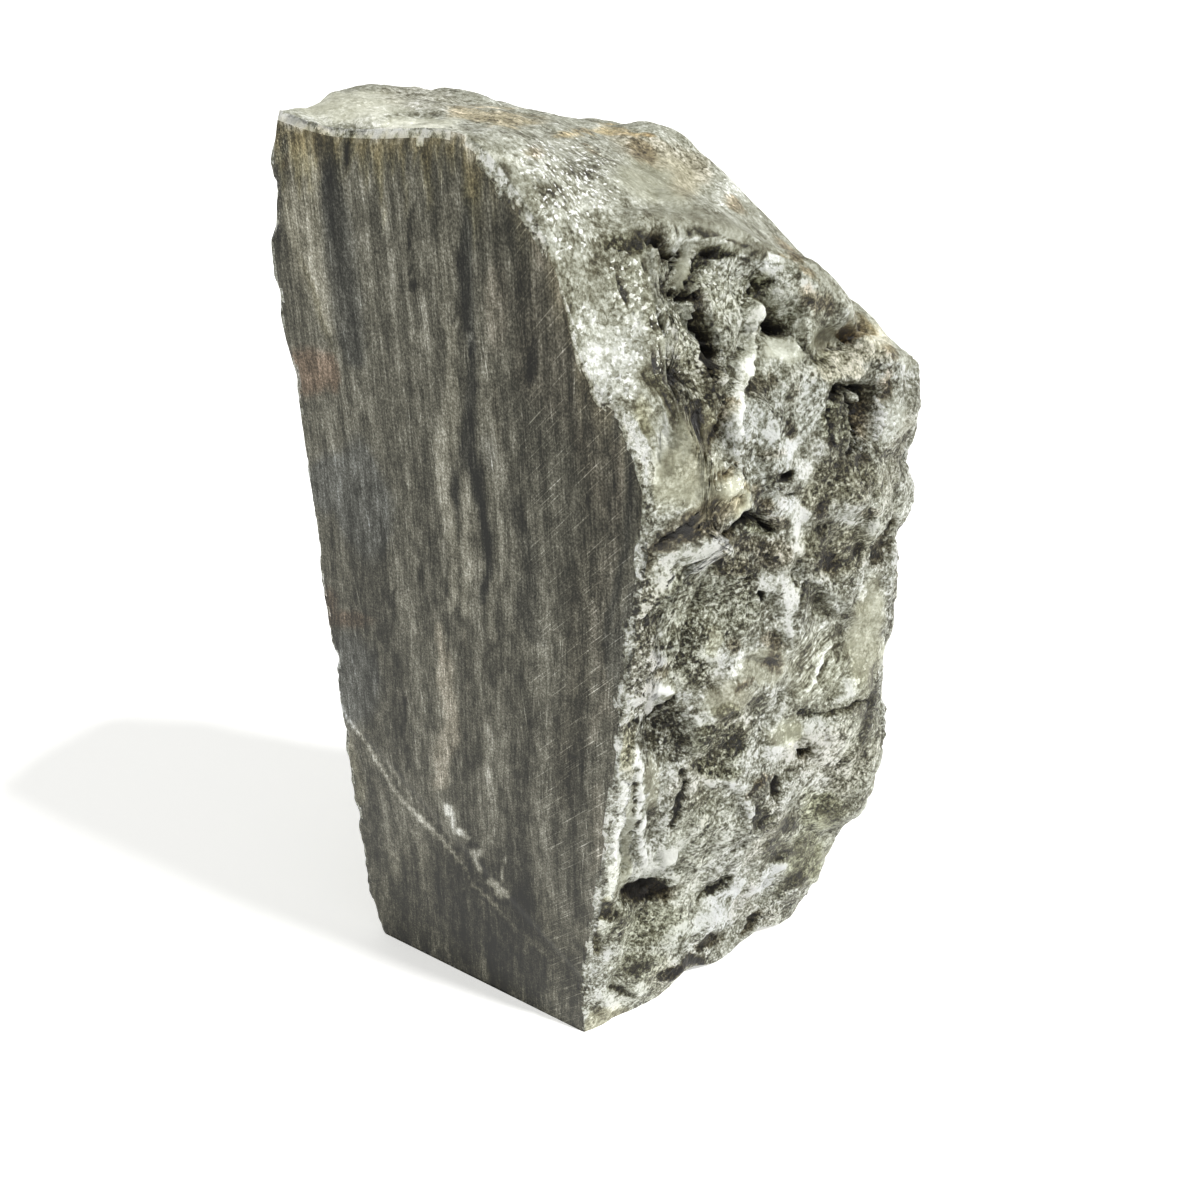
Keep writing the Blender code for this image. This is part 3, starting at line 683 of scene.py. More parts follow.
ROUGH_MARKS = (
    # Painted shade in the olive niche under the crest, and painted shadow in the wedge's deep cut, with some
    # brown
    Mark("olive niche with painted shade, left of the wedge", ovals=((630, 240, 26, 9, -12),), tone=-0.95, grit=1, olive=0.8,
        rise=-2.5),
    Mark("wedge under the crest with painted shadow", ovals=((663, 238, 7, 15, -12), (666, 252, 4, 10, -10)), tone=-2.2,
        brown=0.5, rise=-7),
    Mark("thin crack", line=((614, 263), (622, 283), (634, 299)), half=1.3, tone=-2.2, rise=-2.5),
    Mark("left limb of the V", line=((646, 256), (655, 272), (667, 287), (672, 296)), half=1.8, tone=-2.4,
        rise=-3.5),
    Mark("right limb of the V", line=((690, 236), (677, 258), (671, 270), (668, 284)), half=1.6, tone=-2.2,
        brown=0.4, rise=-3),
    Mark("crack right of the grey lobe", line=((702, 257), (696, 272), (687, 290), (684, 297)), half=2.2,
        tone=-1.8, olive=0.6, rise=-3.5),
    Mark("crack under the grey lobe", line=((672, 297), (681, 299), (697, 298)), half=2, tone=-1.8, rise=-3),
    Mark("grey lobe", ovals=((684, 272, 9, 24, 10),), calm=0.9, cool=0.4),
    Mark("mossy pocket", ovals=((722, 250, 18, 6, -8), (706, 259, 7, 6, -30)), tone=-1.3, grit=1.1, olive=1,
        rise=-3),
    Mark("sugary lobe", ovals=((725, 285, 28, 32, 0), (660, 312, 34, 14, -15), (632, 280, 20, 26, 0),
        (680, 345, 26, 30, 0)), sugar=0.9, tone=-0.05, olive=0.25),
    # painted shadow down the gulley, cast by the rib at its right, over real relief and some brown
    Mark("gulley with painted shadow", ovals=((698, 306, 5, 12, 5), (700, 326, 7, 14, -8), (708, 350, 8, 20, -8),
        (713, 370, 3, 12, 0)), tone=-1.9, brown=0.45, rise=-4.5),
    Mark("rib right of the gulley", line=((704, 305), (716, 335), (720, 360), (716, 388)), half=4.5,
        tone=0.45, rise=1.5),
    # painted shadow under the hook's overhang and painted shade on the floor below it, over real relief
    Mark("hooked hollow with painted shadow", line=((653, 352), (661, 361), (672, 366), (675, 376), (671, 388)), half=3.2,
        tone=-2.4, brown=0.3, rise=-4.5),
    Mark("floor of the hooked hollow with painted shadow", ovals=((658, 374, 12, 12, 0),), tone=-0.7, olive=0.5, grit=0.5,
        rise=-2),
    Mark("small dark slit", line=((647, 322), (662, 318), (674, 309)), half=1.6, tone=-1.4, rise=-1.5),
    Mark("upright pit", line=((698, 408), (695, 424), (699, 441)), half=4, tone=-1.9, brown=0.3, rise=-3),
    Mark("dark field round the pit", ovals=((690, 400, 24, 20, 0), (708, 425, 10, 22, 10)), tone=-0.5,
        grit=0.5, olive=0.3),
    Mark("small dark spot", ovals=((672, 416, 4, 8, 10),), tone=-1),
    Mark("brown crease", line=((735, 402), (722, 430), (712, 446), (705, 458)), half=3, tone=-1.1, brown=0.8,
        rise=-2),
    Mark("olive strip at the front edge", ovals=((641, 425, 7, 30, 6),), olive=0.7, tan=0.2, tone=-0.1),
    Mark("white hook over the bulge", line=((765, 272), (757, 300), (748, 335), (744, 380), (738, 400),
        (737, 440)), half=5, tone=1, calm=0.5, rise=2.2),
    Mark("lens beside the hook", ovals=((741, 352, 4, 18, 22),), tone=-0.9, cool=0.3, rise=-1.5),
    Mark("green pit", ovals=((761, 291, 10, 12, 10),), tone=-1.3, grit=0.9, olive=0.9, rise=-4),
    Mark("white at the green pit", ovals=((768, 268, 10, 10, 20), (779, 258, 8, 6, 30)), tone=0.9, cool=0.4),
    Mark("grey floor of the pit", ovals=((770, 312, 9, 10, 0),), tone=-0.2, calm=0.5, rise=-2),
    Mark("black pit", ovals=((776, 328, 14, 9, 10),), tone=-1.9, grit=1.3, rise=-4),
    Mark("pale smooth shoulder", ovals=((787, 352, 18, 13, 30), (772, 350, 10, 10, 0)), tone=0.45, calm=0.9,
        cool=0.3),
    Mark("purple patch", ovals=((818, 300, 20, 9, 35), (808, 292, 8, 10, 0)), tone=-0.8, grit=0.7,
        brown=0.6),
    Mark("white above the purple patch", ovals=((812, 286, 14, 4, 38),), tone=0.9),
    Mark("grey lens of the corner", ovals=((827, 341, 17, 13, -38),), calm=1, cool=0.5, rise=-2),
    Mark("rim of the grey lens", line=((800, 340), (812, 355), (822, 361), (832, 354), (843, 343)), half=2.5,
        tone=-0.7, grit=0.7, olive=0.4, rise=-1.5),
    Mark("rust pocket", ovals=((853, 331, 13, 9, -15),), tone=-1, brown=1, tan=0.5, grit=0.6, rise=-3),
    Mark("rust streak", line=((860, 312), (868, 322), (872, 334)), half=3, tone=-0.7, tan=0.8),
    Mark("cream of the corner", ovals=((850, 355, 30, 12, -10), (880, 340, 16, 22, 0),
        (840, 372, 26, 10, 0)), tone=0.45, cream=0.6, tan=0.2),
    Mark("brown at the corner", ovals=((893, 352, 9, 10, -20), (888, 385, 5, 16, 5)), tone=-0.6, brown=0.7),
    Mark("white of the corner", ovals=((903, 368, 9, 14, 20),), tone=0.8, cool=0.3),
    Mark("ridge at the right", line=((884, 350), (885, 380), (880, 410), (876, 440)), half=2.5, tone=0.9,
        rise=1.5),
    # painted shadow under the keyhole's roof and down its crack, over real relief, with some brown
    Mark("keyhole's roof with painted shadow", line=((832, 399), (838, 391), (852, 387), (864, 391), (867, 400)), half=3.2,
        tone=-2.2, brown=0.6, rise=-5),
    Mark("keyhole's crack with painted shadow", line=((846, 396), (851, 407), (856, 416), (853, 426), (855, 440), (850, 455)),
        half=3.2, tone=-2.6, rise=-5),
    Mark("keyhole's floor", ovals=((836, 425, 14, 26, 0),), tone=-0.35, grit=0.8, olive=0.7),
    Mark("keyhole's brown side", ovals=((864, 415, 8, 24, 10),), tone=-0.5, brown=0.8, rise=-2),
    Mark("keyhole's spot", ovals=((834, 445, 4, 3, 0),), tone=-1.4, brown=0.5),
    Mark("keyhole's thin crack", line=((829, 408), (830, 430), (834, 445)), half=1.5, tone=-1.3, rise=-1),
    Mark("pale strip outside the keyhole", ovals=((892, 415, 9, 26, 5), (905, 425, 8, 20, 0)), tone=0.3,
        cool=0.4, calm=0.5),
    Mark("lilac bruise", ovals=((770, 430, 32, 48, 25), (775, 490, 26, 30, 0), (815, 400, 16, 30, 10)),
        fibre=1, tone=0.2, cool=0.6),
    Mark("white in the bruise", ovals=((764, 436, 12, 8, -20), (785, 448, 12, 10, 0), (790, 500, 14, 10, 10),
        (785, 550, 12, 8, 0)), tone=0.7),
    Mark("blots in the bruise", ovals=((758, 388, 12, 8, 30), (772, 380, 5, 8, -30), (795, 395, 10, 4, -30),
        (790, 432, 6, 10, 0), (770, 452, 14, 5, 0)), tone=-0.8, grit=0.6, brown=0.3),
    Mark("eye in the bruise", ovals=((785, 478, 13, 6, -5),), tone=-1.1, grit=0.8, olive=0.4, rise=-2),
    Mark("eye's pupil", ovals=((791, 478, 4, 4, 0),), tone=-2.2, rise=-2),
    Mark("crack under the eye", line=((770, 485), (784, 492), (800, 497)), half=1.8, tone=-1.2, rise=-1.5),
    Mark("brown beside the bulge", ovals=((764, 505, 10, 6, 30), (757, 490, 6, 6, 0)), tone=-0.9, brown=0.6),
    Mark("bulge", ovals=((690, 480, 36, 40, -20), (700, 430, 20, 20, 0)), cream=0.7, tone=0.1, calm=0.85),
    Mark("lump on the bulge", ovals=((727, 488, 9, 18, 22), (740, 500, 9, 16, 15)), cream=0.8, tone=0.5,
        calm=0.8, rise=2),
    Mark("brown edge of the lump", line=((711, 480), (718, 473), (730, 468), (738, 460)), half=2, tone=-0.9,
        tan=0.9, rise=-1.5),
    Mark("shade right of the lump", line=((742, 470), (742, 480), (745, 488)), half=2.8, tone=-0.9, tan=0.5,
        rise=-1.5),
    Mark("seam left of the bulge", ovals=((654, 495, 6, 40, 2), (662, 440, 7, 34, 8)), tone=0.75, cool=0.2),
    Mark("brown line at the seam", line=((633, 440), (638, 470), (645, 505), (646, 522)), half=1.5,
        tone=-0.9, tan=0.8),
    # Under the bulge's overhanging lip: brown strata darkened by painted shade, and a dark line and arch of
    # painted shadow beneath them, over real recesses
    Mark("strata under the bulge with painted shade", line=((668, 552), (690, 533), (712, 516), (735, 500)), half=11,
        tone=-0.75, brown=0.55, fibre=0.8, calm=0.4, rise=-1.5),
    Mark("painted shadow line under the lip", line=((669, 550), (678, 542), (692, 535), (706, 521)), half=2.2, tone=-2,
        rise=-4),
    Mark("pale line in the strata", line=((702, 536), (722, 520), (734, 505), (738, 495)), half=1.3,
        tone=0.8, rise=0.8),
    Mark("second strata with painted shade", line=((690, 548), (710, 541), (732, 530)), half=7, tone=-0.8, brown=0.6, fibre=0.6,
        rise=-1.5),
    Mark("arch of painted shadow under the lip", line=((728, 531), (740, 522), (754, 517), (764, 521), (772, 531)), half=3, tone=-2.4,
        rise=-5),
    Mark("olive under the arch", ovals=((758, 528, 14, 6, 15),), olive=0.9, grit=0.6, tone=-0.1, rise=1),
    Mark("brown notch", ovals=((650, 562, 9, 16, 0),), tone=-1.3, brown=0.9, rise=-3),
    # the white ledge's top, lit from above: white stone, brightened further by a painted highlight
    Mark("white shelf with painted highlight", line=((661, 590), (664, 574), (670, 563), (680, 563), (692, 567), (702, 559),
        (712, 556)), half=5.5, tone=1.3, cream=0.1, rise=2.2),
    Mark("dark field", ovals=((730, 566, 22, 9, 5), (772, 554, 18, 14, 0), (745, 545, 18, 9, 0),
        (780, 522, 10, 6, 0)), tone=-0.95, grit=0.8, brown=0.35),
    Mark("granular field", ovals=((700, 605, 40, 30, 0), (730, 600, 30, 40, 0), (690, 650, 26, 36, 0)),
        tone=-0.25, grit=0.95, olive=0.45),
    Mark("black spot", ovals=((764, 596, 4, 6, 0),), tone=-2.2, rise=-2.5),
    Mark("white band", ovals=((777, 583, 17, 9, -8), (790, 600, 8, 20, 5), (783, 628, 9, 12, 0),
        (800, 540, 7, 14, 0)), tone=0.95, calm=0.2, rise=1),
    Mark("dark triangle", ovals=((812, 595, 12, 10, 0), (795, 588, 4, 10, 0), (822, 612, 12, 8, 0)),
        tone=-0.6, olive=0.4, grit=0.4, rise=-1),
    Mark("triangle's edge", line=((810, 582), (823, 580), (831, 593), (839, 612)), half=2, tone=0.7, rise=1),
    Mark("olive grains at the right", ovals=((848, 480, 34, 22, 0), (835, 550, 36, 26, 0),
        (815, 500, 12, 16, 0)), tone=-0.5, grit=0.85, olive=0.5, brown=0.15),
    Mark("white among the grains", ovals=((848, 512, 8, 12, 30), (800, 520, 8, 16, 0), (806, 470, 8, 10, 0)),
        tone=0.75),
    Mark("dark spots of the grains", ovals=((823, 512, 5, 6, 0), (868, 514, 7, 6, 0), (862, 460, 8, 5, 0),
        (830, 565, 10, 10, 0)), tone=-0.7, brown=0.3),
    Mark("dark oval", ovals=((884, 553, 9, 18, 15), (893, 528, 6, 14, 20)), tone=-1, brown=0.3, rise=-2),
    Mark("white line by the oval", line=((874, 520), (866, 545), (863, 572), (859, 600)), half=3, tone=0.85,
        rise=1),
    Mark("smooth right", ovals=((868, 635, 17, 56, 5),), cream=0.55, tone=0.22, calm=0.9),
    Mark("streaked right", ovals=((815, 665, 34, 34, -40),), fibre=1.1, tone=0.25, calm=0.5),
    Mark("upper white lens", line=((834, 646), (822, 664), (808, 690)), half=3.6, tone=1, cool=0.2,
        rise=1.2),
    Mark("lower white lens", line=((860, 682), (848, 693), (834, 702)), half=4.5, tone=1, cool=0.2,
        rise=1.2),
    Mark("shade beside the lens", line=((842, 645), (830, 660), (818, 680)), half=2.5, tone=-0.6, rise=-1.5),
    Mark("grey plate", ovals=((762, 665, 26, 18, -15), (715, 640, 9, 12, 0), (728, 700, 26, 16, -25)),
        tone=0.1, calm=0.85, cream=0.2),
    Mark("brown line of the plate", line=((740, 692), (748, 684), (756, 681)), half=1.8, tone=-0.8,
        brown=0.8),
    Mark("brown spots by the plate", ovals=((775, 662, 8, 9, 0), (765, 640, 8, 7, 0), (735, 645, 6, 6, 0),
        (775, 645, 12, 6, 0)), tone=-0.9, grit=0.7, brown=0.5),
    Mark("ragged white", ovals=((722, 658, 20, 6, -5), (718, 675, 16, 5, 0), (737, 668, 6, 12, 0)),
        tone=0.85, grit=0.7),
    Mark("dark grains strip", ovals=((693, 650, 10, 32, 0), (704, 672, 4, 14, 0)), tone=-0.55, grit=1.1),
    Mark("crumbly edge", ovals=((645, 640, 14, 70, 3),), grit=1.6, tone=-0.3, rise=-0.5, brown=0.15),
    Mark("white crumbs", ovals=((644, 611, 6, 7, 0), (655, 688, 18, 5, 5), (640, 700, 12, 6, 0),
        (622, 712, 8, 9, 0), (665, 662, 16, 5, 10)), tone=1.5, rise=1.2),
    Mark("cream crumb", ovals=((638, 649, 6, 5, 0),), tone=0.5, cream=0.8, olive=0.3, rise=1.5),
    Mark("white lens at the edge", ovals=((668, 688, 8, 10, 0),), tone=-0.25, calm=1, cool=0.3, rise=0.6),
    Mark("brown over the lens", ovals=((664, 672, 9, 7, 0),), tone=-0.5, brown=0.4, calm=0.5),
    Mark("tongue of white", line=((672, 620), (667, 600), (665, 582)), half=4, tone=0.6),
    Mark("spine of white", line=((678, 640), (679, 670), (683, 695), (692, 716)), half=3.5, tone=0.7,
        rise=0.8),
    Mark("slanting crack", line=((678, 698), (660, 706), (650, 713), (636, 722)), half=2.5, tone=-2.2,
        rise=-3),
    Mark("dark grains", ovals=((666, 738, 24, 24, 0),), tone=-0.75, grit=1.5, rise=-1.5),
    Mark("olive strip", ovals=((628, 745, 7, 34, 0),), olive=0.6, tan=0.2, grit=0.8, tone=-0.35),
    Mark("white right of the dark grains", ovals=((706, 722, 9, 8, -20), (697, 703, 10, 10, 0),
        (690, 718, 6, 10, 20)), tone=0.8),
    Mark("olive grains", ovals=((722, 742, 28, 18, 0), (715, 768, 26, 9, 10), (730, 712, 16, 8, 0)),
        tone=-0.55, grit=0.9, olive=0.7),
    Mark("white in the olive grains", ovals=((742, 728, 6, 6, 0), (700, 758, 8, 6, 0)), tone=0.6),
    Mark("dark in the olive grains", ovals=((738, 745, 10, 6, 0), (760, 706, 8, 10, 10)), tone=-0.8,
        olive=0.5),
    Mark("white ridge of the saw groove", line=((637, 748), (638, 790), (641, 825), (644, 868)), half=2.6,
        tone=1.6, calm=0.6, rise=1.2),
    Mark("black line beside the ridge", line=((633, 780), (635, 805), (637, 830), (638, 850)), half=0.9,
        tone=-1.6, rise=-0.5),
    Mark("groove", ovals=((627, 840, 5, 48, 7),), tone=0.05, cool=0.3, calm=1, rise=1.2),
    Mark("left ridge of the groove", line=((625, 785), (619, 820), (614, 850), (612, 880), (611, 905)),
        half=3.8, tone=0.95, calm=0.4, rise=1.2),
    Mark("grey right of the ridge", ovals=((650, 785, 8, 26, 0),), tone=-0.1, calm=0.9),
    Mark("powder right of the ridge", ovals=((658, 840, 15, 26, 0),), tone=0.35, grit=0.3),
    Mark("dark line right of it", line=((681, 768), (682, 790), (679, 812), (673, 828)), half=2.8, tone=-1.5,
        rise=-2),
    Mark("crumbs over the hollow", ovals=((645, 872, 22, 7, -5), (672, 876, 6, 6, 0), (668, 855, 10, 8, 0)),
        tone=1, rise=1.5),
    # painted shadow under the white crumbly ledge, over a real recess, with brown
    Mark("hollow", ovals=((650, 891, 26, 10, -2),), tone=-1.6, brown=0.9, rise=-5),
    Mark("olive under the hollow", ovals=((648, 925, 38, 20, -10), (640, 965, 30, 16, 0)), olive=0.4,
        tone=-0.4),
    Mark("white plate's edge", line=((686, 790), (703, 779), (728, 781), (746, 792), (751, 815)), half=4.5,
        tone=0.9, rise=1),
    Mark("grey of the white plate", ovals=((708, 797, 14, 14, 0),), cool=0.3, calm=0.4),
    Mark("cream spot", ovals=((705, 821, 4, 7, 25),), tone=1.1, cream=0.5, rise=0.8),
    Mark("streaks of the plate", ovals=((722, 840, 26, 34, 10), (700, 860, 20, 16, 0)), fibre=1, tone=0.2),
    Mark("white right of the powder", line=((684, 832), (680, 850), (664, 858)), half=4, tone=0.8),
    Mark("dark knot", ovals=((764, 818, 9, 12, 0),), tone=-0.9, olive=0.6, rise=-1.5),
    Mark("black slot", ovals=((778, 790, 4, 11, 0),), tone=-2, rise=-3),
    Mark("brown splinter", ovals=((760, 785, 14, 4, -38),), tone=-0.6, brown=0.8),
    Mark("brown notch at the right", ovals=((806, 753, 5, 6, 20),), tone=-1.7, brown=0.6, rise=-3),
    Mark("dark spot at the right", ovals=((830, 771, 7, 6, -20), (790, 766, 10, 4, 10)), tone=-1),
    Mark("grey lens", ovals=((784, 733, 20, 14, -20),), tone=0.08, calm=1, olive=0.2, rise=1),
    Mark("white under the lens", ovals=((775, 753, 14, 6, 0), (790, 745, 8, 8, 0)), tone=1),
    Mark("white above the lens", line=((764, 738), (772, 722), (784, 715)), half=2.2, tone=0.7, rise=0.8),
    Mark("white beside the lens", ovals=((815, 726, 12, 12, 0),), tone=0.6, cool=0.4),
    Mark("streaks at the right", ovals=((835, 750, 34, 34, -40), (820, 790, 30, 22, -30)), fibre=1.1,
        tone=0.1),
    Mark("slanting groove", line=((866, 702), (848, 711), (832, 717), (800, 712)), half=2.8, tone=-1,
        olive=0.4, rise=-1.5),
    Mark("dark strip of the right edge", ovals=((868, 720, 8, 22, 15), (875, 690, 6, 20, 5)), tone=-0.6),
    Mark("olive low right", ovals=((805, 858, 18, 28, 10), (820, 810, 22, 20, 0)), olive=0.9, tone=-0.2,
        calm=0.3),
    Mark("dark low right", ovals=((778, 852, 14, 14, 0), (785, 826, 10, 10, 0), (792, 885, 16, 6, -30)),
        tone=-0.8, olive=0.5),
    Mark("pale low right", ovals=((828, 850, 8, 18, 12), (785, 846, 5, 4, 0), (822, 825, 9, 8, 0)), tone=0.5,
        calm=0.4),
    Mark("dark slanting line", line=((698, 898), (714, 888), (733, 876)), half=3.5, tone=-1.5, olive=0.3,
        rise=-2),
    Mark("shards", ovals=((722, 893, 24, 6, -32), (712, 918, 24, 12, -32), (678, 930, 14, 6, -38),
        (755, 890, 22, 6, -35), (772, 873, 14, 5, -30)), tone=0.95, cool=0.5, rise=1),
    Mark("lines in the shards", line=((738, 905), (728, 920), (712, 930)), half=1.6, tone=-0.6, cool=0.3),
    Mark("white at the foot", ovals=((665, 962, 20, 7, -30), (693, 949, 6, 7, 25)), tone=0.75),
    Mark("dark at the foot", ovals=((708, 944, 14, 5, -25), (750, 923, 15, 6, -38)), tone=-1.3, brown=0.5,
        rise=-2),
    # painted shade under the overhang at the foot, with some brown
    Mark("painted shade of the undercut", ovals=((682, 971, 22, 8, -30),), tone=-1.9, brown=0.5),
    Mark("dark by the front corner", ovals=((609, 914, 8, 10, 0), (600, 945, 5, 12, 0)), tone=-1.2,
        olive=0.6, brown=0.3, rise=-2),
    Mark("white by the front corner", ovals=((605, 957, 7, 9, 0), (612, 1000, 20, 8, 15),
        (606, 932, 8, 6, 0), (636, 990, 8, 6, 0)), tone=0.95),
    Mark("crack by the corner", line=((613, 985), (624, 992), (636, 998)), half=2, tone=-1.3, rise=-1),
    Mark("beige corner", ovals=((605, 1020, 22, 12, -20),), cream=0.4, tan=0.15, calm=0.6),
)

TOP_MARKS = (
    Mark("cream of the flat top", ovals=((345, 105, 62, 15, 0), (420, 122, 40, 6, 0)), cream=0.5, tone=0.42,
        calm=0.4),
    Mark("grey crystal of the top", ovals=((425, 98, 42, 12, 5),), cool=0.3, tone=-0.05, fibre=0.4,
        brown=0.15),
    Mark("white edge of the top", line=((318, 124), (350, 122), (410, 127), (455, 127), (478, 142),
        (500, 158), (520, 165)), half=3.2, tone=0.45, cream=0.3),
    Mark("tan stain", ovals=((500, 118, 44, 8, 4), (470, 113, 20, 7, 0)), tan=0.7, tone=0.1),
    Mark("orange line", line=((556, 136), (590, 130), (620, 131), (652, 134)), half=3.6, tan=1, tone=0.15),
    Mark("brown spots of the top", ovals=((586, 144, 5, 3, 0), (594, 151, 6, 3, 0), (651, 134, 4, 3, 0),
        (535, 152, 10, 5, 0), (642, 152, 14, 8, 30)), brown=0.7, tone=-0.5),
    Mark("sugar of the scoop", ovals=((575, 180, 40, 34, 0), (540, 160, 24, 18, 0)), sugar=1.2, tone=0.05),
    Mark("grey of the scoop", ovals=((550, 190, 14, 10, 30), (498, 168, 14, 8, 30), (585, 168, 18, 8, 0)),
        tone=-0.6, cool=0.3),
    Mark("white of the scoop", ovals=((570, 232, 26, 24, 30), (555, 215, 20, 12, 20)), tone=0.1, cool=0.1,
        sugar=0.5),
    Mark("white of the lower scoop", ovals=((600, 372, 15, 36, -24), (628, 345, 16, 26, 0),
        (585, 318, 12, 16, -10)), tone=0.4, cool=0.15, sugar=0.6),
    Mark("grey grains of the scoop", ovals=((590, 232, 30, 18, 0), (610, 262, 26, 20, 0),
        (575, 300, 10, 30, -20), (612, 385, 8, 8, 0)), tone=-0.3, grit=0.6),
    Mark("pink glints", ovals=((625, 383, 10, 10, 0), (637, 318, 8, 8, 0)), sugar=1.5, tone=0.5),
    Mark("cream of the slope", ovals=((660, 180, 40, 24, 10),), cream=0.28, olive=0.15, tone=0.08, calm=0.4),
    Mark("brown of the slope", ovals=((650, 150, 40, 14, 20), (690, 175, 18, 24, 40)), brown=0.4, tone=0.05,
        fibre=0.5),
    Mark("grey strip over the crest", line=((650, 212), (690, 213), (720, 222), (745, 236), (770, 250)),
        half=8, cool=0.35, tone=-0.2, calm=0.4),
    Mark("thin line over the crest", line=((668, 228), (700, 226), (722, 231), (745, 244), (772, 257)),
        half=1.3, tone=-1.2, rise=-0.2),
    Mark("white band of the crest", line=((668, 233), (700, 232), (722, 237), (742, 247)), half=3,
        tone=0.25),
    Mark("brown strips of the far slope", ovals=((790, 250, 16, 4, 38), (812, 272, 12, 4, 42),
        (735, 205, 10, 5, 30)), brown=0.55, tan=0.3, tone=-0.3),
    Mark("glints of the far slope", ovals=((730, 190, 12, 16, 45),), sugar=1, tone=0.2),
)

